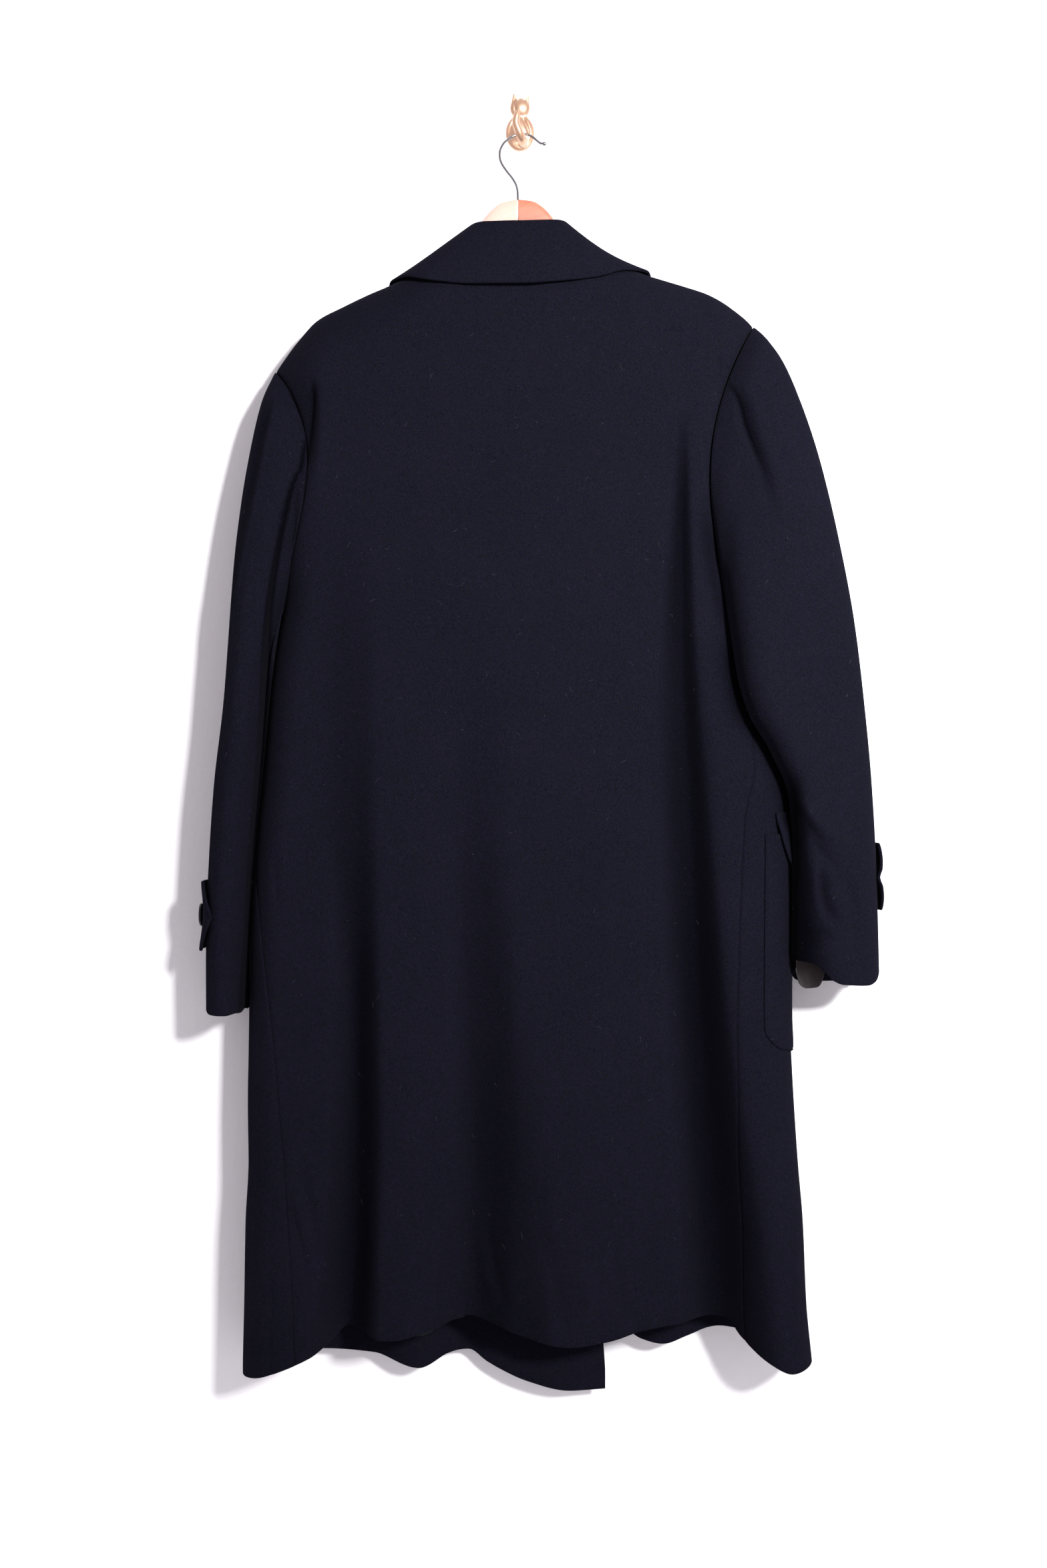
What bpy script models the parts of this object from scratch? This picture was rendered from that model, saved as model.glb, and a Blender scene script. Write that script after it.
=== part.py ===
# A long wool overcoat on a wooden hanger, hung by the hanger's wire on a small cat-shaped wall hook.
# The coat's front faces the wall and hangs open.
# Sizes are in millimetres and become metres when a mesh is made. The origin is the middle of the wall
# hook's flat back. x runs to the right, y runs into the wall, and a drop is a height below the origin.

import math

import bpy
import numpy as np

MILLIMETRE = 0.001
CLOTH = 2.5
COLLAR_WALL = 3.0
SEAM_INSET = 0.25
LAYER_GAP = 0.6

# Where the two shoulder seams lie in depth, and how the cloth rounds over them.
RIDGE_Y = -44.0
NECK_BACK_Y = -82.0
BACK_ROUNDING = 45.0
FRONT_ROUNDING = 30.0
SIDE_ROUNDING = 32.0
WRAP_UNIT = 100.0

# Armhole depth in front of and behind the line from the shoulder to the underarm.
UNDERARM_Y = -62.0
ARMHOLE_BACK = 36.0
ARMHOLE_FRONT = 30.0

# How the rows of a panel are spread, as shares of the way down.
ARMHOLE_SHARES = (0.0, 0.015, 0.055, 0.12, 0.21, 0.33, 0.47, 0.63, 0.79, 0.92, 1.0)
SKIRT_SHARES = (0.09, 0.2, 0.32, 0.45, 0.58, 0.71, 0.83, 0.92, 1.0)
HEM_LEVEL = 1250.0

# The back's columns follow its three troughs, with so many spans before, between and after them.
BACK_STOPS = (1, 2, 0)
BACK_SPANS = (8, 9, 12, 8)
FRONT_ROUND_SPANS = 9
FRONT_FLAT_SPANS = {"left": 17, "right": 12}

COLOURS = {
    "wool": ((0.014, 0.014, 0.026), 0.95, 0.0),
    "lining": ((0.006, 0.012, 0.012), 0.35, 0.0),
    "button": ((0.008, 0.008, 0.012), 0.4, 0.0),
    "pale_wood": ((0.72, 0.55, 0.38), 0.5, 0.0),
    "dark_wood": ((0.62, 0.27, 0.16), 0.5, 0.0),
    "steel": ((0.6, 0.6, 0.6), 0.25, 1.0),
    "copper": ((0.75, 0.42, 0.33), 0.35, 1.0),
}


class Table:
    """Rows of sizes with named columns, read smoothly between the rows by the first column."""

    def __init__(self, names, *rows):
        self.names = names.split()
        self.rows = np.array(rows, dtype=float)

    def read(self, name, at):
        keys = self.rows[:, 0]
        values = self.rows[:, self.names.index(name)]
        steps = np.diff(values) / np.diff(keys)
        rising = steps[1:] * steps[:-1] > 0
        total = np.where(rising, steps[1:] + steps[:-1], 1.0)
        slopes = np.zeros(len(keys))
        slopes[0] = steps[0]
        slopes[-1] = steps[-1]
        slopes[1:-1] = np.where(rising, 2 * steps[1:] * steps[:-1] / total, 0.0)
        held = np.clip(np.asarray(at, dtype=float), keys[0], keys[-1])
        low = np.clip(np.searchsorted(keys, held, side="right") - 1, 0, len(keys) - 2)
        width = keys[low + 1] - keys[low]
        t = (held - keys[low]) / width
        start = (2 * t**3 - 3 * t**2 + 1) * values[low] + (t**3 - 2 * t**2 + t) * width * slopes[low]
        end = (3 * t**2 - 2 * t**3) * values[low + 1] + (t**3 - t**2) * width * slopes[low + 1]
        return start + end


# The shoulder seams, from the left shoulder point to the neck and from the neck to the right one.
LEFT_RIDGE = Table(
    "x drop",
    (-250, 266), (-242, 255), (-226, 234), (-207, 213.6), (-182, 200.3),
    (-153, 186.4), (-131, 177.0), (-99.6, 159.8), (-72, 145.0),
)
RIGHT_RIDGE = Table(
    "x drop",
    (67, 141.2), (94.4, 153.5), (127.4, 167.0), (147, 173.0), (168, 179.3),
    (188.4, 186), (202, 192.6), (221, 205.5), (230, 212.5), (237.5, 219.5),
)
NECK_LEFT = (-72.0, 145.0)
NECK_RIGHT = (67.0, 141.2)
NECK_DIP = 165.0

ARMHOLES = {
    "left": {"shoulder": (-250.0, 266.0), "underarm": (-238.0, 500.0), "inward": 29.0, "skew": 0.6},
    "right": {"shoulder": (237.5, 219.5), "underarm": (197.0, 470.0), "inward": 26.0, "skew": 0.0},
}

# The coat's two sides below the armholes, as distances out from the hook's middle.
SIDES = Table(
    "drop left right",
    (470, 237, 197), (500, 238, 200), (545, 245.5, 203), (575, 250, 208), (608, 253.5, 218),
    (648, 257, 237), (690, 261, 257), (738, 266, 267.5), (840, 272.7, 272.2), (915, 274, 272.2),
    (1008, 275.3, 276), (1069, 274.5, 280), (1130, 277.4, 285), (1211, 278.7, 288.4), (1270, 280, 294),
)
DEPTHS = Table(
    "drop back middle front",
    (140, -84, -54, -23), (230, -88, -56, -22), (300, -92, -58, -22), (400, -96, -60, -22),
    (500, -100, -62, -23), (840, -108, -65, -25), (1008, -112, -67, -27), (1270, -117, -70, -31),
)
# The side seams, counted round the side: 0 where the back turns, 0.5 on the edge, below 0 on the back.
SEAMS = Table(
    "drop left right",
    (470, 0.5, 0.5), (600, 0.5, 0.3), (660, 0.5, 0.05), (726, 0.46, -0.124), (819, 0.238, -0.212),
    (908, 0.09, -0.233), (994, -0.011, -0.265), (1079, -0.084, -0.302), (1143, -0.157, -0.312),
    (1228, -0.217, -0.331), (1266, -0.244, -0.34),
)
# The free front edges, and above the top button the line on which each lapel turns back.
FRONT_EDGES = Table(
    "drop left right",
    (141, -72, 67), (200, -58, 64), (320, -20, 58), (520, 38, 52), (700, 48, 66),
    (900, 60, 84), (1100, 74, 102), (1290, 86, 117),
)

BACK_HEM = Table(
    "x drop",
    (-281, 1283), (-262, 1279), (-228, 1266), (-195, 1250), (-172, 1234), (-135, 1240), (-87, 1230),
    (-53, 1220), (-28, 1226), (18, 1242), (48, 1246), (85, 1241), (130, 1229), (181, 1223),
    (208, 1226), (222, 1243), (246, 1264), (271, 1275), (295, 1270),
)
FRONT_HEMS = {
    "left": Table(
        "x drop",
        (-281, 1283), (-200, 1268), (-150, 1272), (-104, 1285), (-76, 1273), (-54, 1270),
        (-35, 1282), (5, 1300), (50, 1310), (88, 1309),
    ),
    "right": Table(
        "x drop",
        (112, 1250), (124, 1257), (145, 1261), (170, 1254), (205, 1246), (240, 1252), (295, 1270),
    ),
}

# Each fold is a trough into the coat, or with a minus sign a ridge towards the viewer.
BACK_FOLDS = (
    Table(
        "drop x depth half_width",
        (330, 163, 0, 24), (430, 157, 8, 26), (560, 161, 15, 28), (760, 170, 22, 30),
        (960, 175, 28, 32), (1130, 186, 36, 36), (1250, 196, 42, 46),
    ),
    Table(
        "drop x depth half_width",
        (700, -186, 0, 26), (790, -162, 10, 26), (900, -158, 18, 28), (1040, -156, 26, 28),
        (1150, -160, 36, 28), (1250, -172, 44, 34),
    ),
    Table(
        "drop x depth half_width",
        (560, -48, 0, 30), (790, -45, 4, 34), (1000, -42, 7, 34), (1150, -42, 14, 34),
        (1250, -54, 24, 40),
    ),
    Table("drop x depth half_width", (900, -115, 0, 44), (1250, -118, -9, 46)),
    Table("drop x depth half_width", (760, 44, 0, 90), (1250, 46, -9, 84)),
    Table("drop x depth half_width", (1000, -222, 0, 30), (1250, -216, -5, 34)),
)
FRONT_FOLDS = {
    "left": (
        Table("drop x depth half_width", (800, -100, 0, 46), (1290, -108, -15, 44)),
        Table("drop x depth half_width", (700, -58, 0, 34), (1290, -55, 7, 36)),
        Table("drop x depth half_width", (700, 20, 0, 70), (1290, 30, -9, 76)),
    ),
    "right": (
        Table("drop x depth half_width", (760, 150, 0, 40), (1270, 148, -11, 44)),
        Table("drop x depth half_width", (800, 205, 0, 40), (1270, 206, 6, 42)),
    ),
}

# Rings of each sleeve: its outer line and its underside line, its middle in depth and its half depth.
SLEEVES = {
    "left": (
        ("top_x top_drop under_x under_drop middle_y half_depth inward"),
        (-262, 299, -247, 516, -60, 39, 20),
        (-271, 339, -252, 532, -64, 42, 12),
        (-281, 400, -256, 552, -68, 46, 6),
        (-288, 462, -260, 580, -70, 49, 2),
        (-293, 535, -264, 615, -71, 51, 0),
        (-298, 602, -269, 655, -71, 52, 0),
        (-308, 688, -276, 720, -70, 52, 0),
        (-313, 760, -282, 780, -69, 51, 0),
        (-316, 830, -284, 842, -68, 50, 0),
        (-316.5, 880, -284.5, 884, -67, 49, 0),
        (-316.5, 918, -284.5, 918, -66, 48, 0),
    ),
    "right": (
        ("top_x top_drop under_x under_drop middle_y half_depth inward"),
        (250.5, 236, 206, 488, -60, 39, -20),
        (264.5, 257, 208, 500, -64, 42, -14),
        (281, 296, 210, 520, -69, 46, -9),
        (300.5, 357, 213, 548, -74, 50, -5),
        (320, 441, 219, 583, -78, 52, -2),
        (335, 522, 232, 618, -79, 52, 0),
        (345, 602, 252, 655, -77, 51, 0),
        (353, 684, 272, 706, -74, 50, 0),
        (358, 765, 281, 770, -72, 48, 0),
        (360, 823, 281, 818, -71, 47, 0),
        (361.5, 889, 279, 866, -70, 46, 0),
    ),
}
SLEEVE_SQUARENESS = 2.5
SLEEVE_START = 2.0
UNDERARM_START = 2.6

# The collar from its left front end round the neck: fold, outer edge, neck seam, and which way is out.
COLLAR = Table(
    "share fold_x fold_y fold_drop edge_x edge_y edge_drop seam_x seam_y seam_drop out_x out_y out_z swell",
    (0.00, -40, -18.5, 205, -112, -15, 228, -52, -21.5, 207, 0, 1, 0, 1),
    (0.12, -49, -22, 158, -134, -17, 200, -61, -26, 163, -0.2, 0.9, 0.3, 0.5),
    (0.19, -51.5, -33, 133, -135, -26, 181, -66, -34.5, 147, -0.35, 0.5, 0.7, 0),
    (0.25, -52, -44, 122.8, -132, -44, 172.6, -68, -44, 140, -0.5, 0, 0.86, -1.5),
    (0.31, -48, -60, 122.5, -117, -71, 172, -60, -60, 147, -0.45, -0.6, 0.66, 0.5),
    (0.37, -40, -72, 123, -92, -87.5, 178, -44, -70, 154, -0.3, -0.9, 0.3, 2),
    (0.43, -24, -77, 123.5, -48, -92, 182.5, -25, -76, 158, -0.1, -1, 0.12, 3),
    (0.50, -1, -79, 123.5, 0, -94.5, 182.5, -1, -78, 160, 0, -1, 0.05, 3),
    (0.57, 20, -77, 122.5, 36, -92, 180, 22, -76, 158, 0.1, -1, 0.12, 3),
    (0.63, 38, -72, 121, 76, -87.5, 175, 41, -70, 153, 0.3, -0.9, 0.3, 2),
    (0.69, 45, -60, 120, 106, -72, 165, 56, -60, 145, 0.45, -0.6, 0.66, -1),
    (0.75, 48, -44, 120, 130, -44, 162, 63, -44, 136, 0.5, 0, 0.86, -4.5),
    (0.81, 48.5, -33, 129, 134, -26, 169, 61, -34.5, 142, 0.35, 0.5, 0.7, -2),
    (0.88, 50, -22, 152, 131, -17, 188, 58, -26, 158, 0.2, 0.9, 0.3, 0.5),
    (1.00, 46, -18.5, 200, 118, -15, 222, 57, -21.5, 202, 0, 1, 0, 1),
)
COLLAR_FOLD_RADIUS = 2.1
COLLAR_COLUMNS = 35
STAND_SHARES = (0.0, 0.5)
FOLD_ANGLES = (-90, -40, 0, 40, 90)
FALL_SHARES = (0.22, 0.46, 0.72, 1.0)

# Each lapel: a share down the turning line, where that is, and the lapel's outer edge beside it.
LAPEL_Y = -18.8
LAPELS = {
    "left": Table(
        "share turn_drop outer_x outer_drop",
        (0.0, 216, -126, 252), (0.12, 240, -124, 262), (0.4, 330, -104, 330),
        (0.7, 430, -52, 430), (1.0, 512, 24, 514),
    ),
    "right": Table(
        "share turn_drop outer_x outer_drop",
        (0.0, 211, 134, 246), (0.12, 235, 136, 256), (0.4, 330, 132, 326),
        (0.7, 430, 104, 428), (1.0, 512, 66, 514),
    ),
}

# Pockets, their flaps and the lining on the fronts, as spans round the side and down.
POCKETS = {
    "left": {
        "start": 0.64, "end": 1.62, "top": 754.0, "bottom": 972.0, "flap_start": 0.60, "flap_top": 733.0,
    },
    "right": {
        "start": 0.04, "end": 1.42, "top": 738.0, "bottom": 956.0, "flap_start": 0.36, "flap_top": 717.0,
    },
}
POCKET_WALL = 2.2
POCKET_GAP = 1.1
POCKET_CORNERS = (22.0, 7.0, 1.0)
COLUMN_CROWDING = 0.08
FLAP_HEIGHT = 66.0
FLAP_WALL = 3.2
FLAP_LIFT = 2.6
FLAP_OVERHANG = 0.03
FLAP_FREE_COLUMNS = 4.0
LINING_WALL = 1.0
LINING_RISE = 28.0
LINING_COLUMNS = (2, 4)

# Cuff tabs on the outside of the sleeves.
TABS = {"left": {"top": 786.0, "bottom": 853.0}, "right": {"top": 748.0, "bottom": 814.0}}
TAB_WALL = 3.2
TAB_LIFT = 3.2
TAB_REACH = 64.0
BUTTON_RADIUS = 11.5
BUTTON_THICKNESS = 4.0
BUTTON_STAND = 0.3
FRONT_BUTTON_DROPS = (545.0, 660.0, 775.0)
FRONT_BUTTON_INSET = 28.0

# The hanger, measured out from its middle, and how far one end hangs lower than the other.
HANGER_X = -2.6
HANGER_TILT = 0.0297
HANGER = Table(
    "out top bottom half_thick",
    (0, 89.6, 130, 7), (15, 91.8, 132, 7), (26, 98.5, 137, 7), (35, 108.5, 145, 7),
    (45, 124.0, 157, 7), (57, 138.6, 169, 7), (69.5, 147.0, 178, 7), (97, 160.9, 191, 7),
    (130, 177.3, 206, 7.5), (150, 185.8, 214, 8), (180, 198.6, 226, 9), (205, 212.6, 238, 10),
    (212, 219.8, 238, 10),
)
# Corners of its section: a share of its half thickness, then down from its top or up from its bottom.
HANGER_SECTION = (
    (-1.0, 7.0, 0), (-0.85, 3.2, 0), (-0.5, 0.9, 0), (0.0, 0.001, 0), (0.5, 0.9, 0), (0.85, 3.2, 0),
    (1.0, 7.0, 0), (1.0, 0, 5.0), (0.6, 0, 0.9), (-0.6, 0, 0.9), (-1.0, 0, 5.0),
)
HANGER_END_TAPER = 3.0
HANGER_STATIONS = (0.2, 8, 15, 21, 26, 31, 36, 41, 47, 54, 62, 72, 84, 97, 113, 130, 150, 172, 190, 204, 210)

WIRE_RADIUS = 1.6
WIRE_BALL = 2.6
WIRE_TOP_Y = -17.0
WIRE_ROUTE = (
    (-2.6, 88.6), (-2.7, 80), (-4.0, 71), (-8.0, 64), (-13.5, 57.5), (-18.5, 50.5), (-21.0, 42.5),
    (-20.8, 34), (-17.6, 26), (-11.5, 20), (-4.0, 17), (3.0, 16.5), (10.0, 18), (15.5, 21.5),
    (20.0, 26), (24.0, 28),
)

HOOK_THICKNESS = 9.0
HOOK_BEVEL = 1.2
HOOK_BODY = {"x": -0.5, "z": -12.0, "half_width": 14.7, "half_height": 18.2}
HOOK_HEAD = {"x": -0.5, "z": 15.0, "radius": 10.3}
HOOK_NECK = (6.9, 5.8)
LEFT_EAR = ((-2.8, 24.9), (-7.4, 28.7), (-9.4, 20.2))
RIGHT_EAR = ((8.4, 20.2), (8.2, 27.0), (1.8, 25.0))
TAIL_ROUTE = Table(
    "share x y z radius",
    (0.0, 3.0, -5.0, -23.3, 4.6), (0.22, 2.6, -15.0, -23.4, 4.6), (0.42, 0.5, -23.6, -20.3, 4.5),
    (0.6, -3.0, -27.0, -12.0, 4.3), (0.76, -5.0, -27.8, -4.0, 4.0), (0.9, -4.2, -28.2, 4.0, 3.4),
    (1.0, -2.2, -28.6, 10.0, 1.6),
)
TAIL_RINGS = 13


def material(name):
    """One finish with its colour, roughness and metallic value."""
    found = bpy.data.materials.get(name)
    if found:
        return found
    colour, roughness, metallic = COLOURS[name]
    made = bpy.data.materials.new(name)
    made.use_nodes = True
    shader = made.node_tree.nodes["Principled BSDF"]
    shader.inputs["Base Color"].default_value = (*colour, 1.0)
    shader.inputs["Roughness"].default_value = roughness
    shader.inputs["Metallic"].default_value = metallic
    return made


def add_object(name, vertices, faces, finish):
    """A named mesh object from millimetre points, turned so that its faces point out."""
    points = np.asarray(vertices, dtype=float)
    volume = 0.0
    for face in faces:
        for i in range(1, len(face) - 1):
            volume += np.dot(points[face[0]], np.cross(points[face[i]], points[face[i + 1]]))
    if volume < 0:
        faces = [tuple(reversed(face)) for face in faces]
    mesh = bpy.data.meshes.new(name)
    mesh.from_pydata((points * MILLIMETRE).tolist(), [], [tuple(int(i) for i in face) for face in faces])
    mesh.materials.append(material(finish))
    mesh.shade_smooth()
    mesh.set_sharp_from_angle(angle=math.radians(50))
    made = bpy.data.objects.new(name, mesh)
    bpy.context.scene.collection.objects.link(made)
    return made


def normals_of(points, closed):
    """Unit normals of a grid of points, which is a tube where its columns close on themselves."""
    if closed:
        padded = np.concatenate([points[:, -1:], points, points[:, :1]], axis=1)
        across = (padded[:, 2:] - padded[:, :-2])
    else:
        across = np.gradient(points, axis=1)
    down = np.gradient(points, axis=0)
    found = np.cross(across, down)
    return found / np.linalg.norm(found, axis=2, keepdims=True)


def wall(name, points, thickness, finish, closed=False, ways=None):
    """A closed wall of cloth, half its thickness to each side of a grid of middle points."""
    rows, columns, _ = points.shape
    out = (normals_of(points, closed) if ways is None else ways) * thickness / 2
    vertices = np.concatenate([(points + out).reshape(-1, 3), (points - out).reshape(-1, 3)])
    count = rows * columns
    faces = []
    spans = columns if closed else columns - 1
    for i in range(rows - 1):
        for j in range(spans):
            a = i * columns + j
            b = i * columns + (j + 1) % columns
            c = b + columns
            d = a + columns
            faces += [(a, b, c), (a, c, d)]
            faces += [(count + a, count + c, count + b), (count + a, count + d, count + c)]
    rims = [(j, (j + 1) % columns, True) for j in range(spans)]
    last = (rows - 1) * columns
    rims += [(last + j, last + (j + 1) % columns, False) for j in range(spans)]
    if not closed:
        rims += [(i * columns, (i + 1) * columns, False) for i in range(rows - 1)]
        rims += [((i + 1) * columns - 1, (i + 2) * columns - 1, True) for i in range(rows - 1)]
    for a, b, flip in rims:
        for rim in ((a, b, count + b), (a, count + b, count + a)):
            faces.append(rim[::-1] if flip else rim)
    return add_object(name, vertices, faces, finish)


def inset(points, left=0.0, right=0.0, top=0.0, bottom=0.0):
    """Draws the edges of a grid in along its own surface, which leaves the gap of a seam."""
    held = points.copy()
    for amount, edge, inner in (
        (left, (slice(None), 0), (slice(None), 1)),
        (right, (slice(None), -1), (slice(None), -2)),
        (top, (0,), (1,)),
        (bottom, (-1,), (-2,)),
    ):
        if amount:
            step = held[inner] - held[edge]
            held[edge] = held[edge] + step * amount / np.linalg.norm(step, axis=-1, keepdims=True)
    return held


def seam_ways(points, seams):
    """Normals of a panel, mitred along its shoulder seam and its side seams so that neighbours meet."""
    ways = normals_of(points, False)
    first = len(ARMHOLE_SHARES)
    for side, column in seams:
        wrap = SEAMS.read(side, -points[first:, column, 2])
        turn = math.pi * np.clip(wrap, 0, 1)
        way = np.stack([side_sign(side) * np.sin(turn), -np.cos(turn), 0 * turn], axis=1)
        ways *= np.sign(np.sum(way * ways[first:, column]))
        ways[first:, column] = way
    crest = np.cross(np.gradient(points[0], axis=0), (0.0, 1.0, 0.0))
    ways[0] = crest * np.sign(crest[:, 2:]) / np.linalg.norm(crest, axis=1, keepdims=True)
    return ways


def rounding(share):
    """A quarter circle: 1 at an edge and 0 where the flat begins."""
    return 1 - np.sqrt(np.clip(1 - (1 - np.clip(share, 0, 1)) ** 2, 0, 1))


def folds(tables, x, drop):
    """How far the folds of a panel move its cloth in depth."""
    moved = np.zeros(np.broadcast(x, drop).shape)
    for table in tables:
        apart = (x - table.read("x", drop)) / table.read("half_width", drop)
        moved += table.read("depth", drop) * np.clip(1 - apart**2, 0, 1) ** 2
    return moved


def side_sign(side):
    return -1.0 if side == "left" else 1.0


def armhole_point(side, share):
    """x, drop, and the depths of the back and the front edge, from the shoulder to the underarm."""
    hole = ARMHOLES[side]
    x0, drop0 = hole["shoulder"]
    x1, drop1 = hole["underarm"]
    bow = 4 * share * (1 - share)
    x = x0 + (x1 - x0) * share - side_sign(side) * hole["inward"] * bow * (1 + hole["skew"] * (1 - 2 * share))
    middle = RIDGE_Y + (UNDERARM_Y - RIDGE_Y) * share
    return (
        x,
        drop0 + (drop1 - drop0) * share,
        middle - ARMHOLE_BACK * np.sqrt(bow),
        middle + ARMHOLE_FRONT * np.sqrt(bow),
    )


def round_side(side, wrap, drop):
    """A point of the skirt counted round the side: out from the hook's middle, and in depth."""
    edge = SIDES.read(side, drop)
    back, middle, front = (DEPTHS.read(name, drop) for name in ("back", "middle", "front"))
    turn = math.pi * np.clip(wrap, 0, 1)
    out = edge - SIDE_ROUNDING + SIDE_ROUNDING * np.sin(turn)
    out = out + WRAP_UNIT * np.minimum(wrap, 0) - WRAP_UNIT * np.maximum(wrap - 1, 0)
    depth = middle + np.where(turn < math.pi / 2, back - middle, middle - front) * np.cos(turn)
    x = side_sign(side) * out
    depth = depth + np.where(wrap < 0, folds(BACK_FOLDS, x, drop), 0.0)
    depth = depth + np.where(wrap > 1, folds(FRONT_FOLDS[side], x, drop), 0.0)
    return x, depth


def back_depth(x, drop, left, right, left_depth, right_depth):
    """Depth of the back at x, rounding away towards its two sides."""
    flat = DEPTHS.read("back", drop)
    at_left = rounding((x - left) / SIDE_ROUNDING)
    at_right = rounding((right - x) / SIDE_ROUNDING)
    inner = (1 - at_left) * (1 - at_right)
    rounded = (left_depth - flat) * at_left + (right_depth - flat) * at_right
    return flat + folds(BACK_FOLDS, x, drop) * inner + rounded


def even_ends(count):
    """Shares from 0 to 1 that lie closer together at both ends."""
    share = np.linspace(0, 1, count + 1)
    return 0.45 * share + 0.55 * (1 - np.cos(math.pi * share)) / 2


def level_grid(top, underarm, hem):
    """Drops of a panel's rows, for each column's top, underarm level and hem."""
    upper = [top + (underarm - top) * share for share in ARMHOLE_SHARES]
    lower = [underarm + (hem - underarm) * share for share in SKIRT_SHARES]
    return np.array(upper + lower)


def back_top(x):
    """Drop and depth of the back's top edge: shoulder seams, and the neck between them."""
    left_x, left_drop = NECK_LEFT
    right_x, right_drop = NECK_RIGHT
    middle = (left_x + right_x) / 2
    reach = (right_x - left_x) / 2
    bow = np.clip(1 - ((x - middle) / reach) ** 2, 0, 1)
    level = left_drop + (right_drop - left_drop) * np.clip((x - left_x) / (2 * reach), 0, 1)
    neck = level + (NECK_DIP - level) * bow
    drop = np.where(x <= left_x, LEFT_RIDGE.read("drop", x), neck)
    drop = np.where(x >= right_x, RIGHT_RIDGE.read("drop", x), drop)
    return drop, RIDGE_Y + (NECK_BACK_Y - RIDGE_Y) * np.sqrt(bow)


def back_points():
    """Middle surface of the back, from the left side seam and armhole to the right ones."""
    upper = len(ARMHOLE_SHARES)
    first, last = ({}, {})
    for edge, side in ((first, "left"), (last, "right")):
        x, drop, depth, _ = armhole_point(side, np.array(ARMHOLE_SHARES))
        seam_hem_x, _ = round_side(side, SEAMS.read(side, HEM_LEVEL), np.array(HEM_LEVEL))
        seam_drops = drop[-1] + (BACK_HEM.read("drop", seam_hem_x) - drop[-1]) * np.array(SKIRT_SHARES)
        seam_x, _ = round_side(side, SEAMS.read(side, seam_drops), seam_drops)
        edge["drop"] = np.concatenate([drop, seam_drops])
        edge["x"] = np.concatenate([x, seam_x])
        edge["side"] = np.concatenate([x, side_sign(side) * SIDES.read(side, seam_drops)])
        edge["depth"] = np.concatenate([depth, DEPTHS.read("middle", seam_drops)])
    level = (first["drop"] + last["drop"]) / 2
    stops = [first["x"]] + [BACK_FOLDS[i].read("x", level) for i in BACK_STOPS] + [last["x"]]
    spans = []
    for start, end, count in zip(stops, stops[1:], BACK_SPANS):
        share = even_ends(count)
        spans.append(start[:, None] + (end - start)[:, None] * share[None, :-1])
    x = np.concatenate(spans + [last["x"][:, None]], axis=1)
    top, top_depth = back_top(x[0])
    across = (x[upper - 1] - x[upper - 1, 0]) / (x[upper - 1, -1] - x[upper - 1, 0])
    underarm = first["drop"][upper - 1] + (last["drop"][upper - 1] - first["drop"][upper - 1]) * across
    drop = level_grid(top, underarm, BACK_HEM.read("drop", x[-1]))
    sides = (first["side"][:, None], last["side"][:, None])
    side_depths = (first["depth"][:, None], last["depth"][:, None])
    depth = back_depth(x, drop, *sides, *side_depths)
    over = 1 - rounding((drop - top[None, :]) / BACK_ROUNDING)
    depth = top_depth[None, :] + (depth - top_depth[None, :]) * over
    return np.stack([x, depth, -drop], axis=2)


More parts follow.
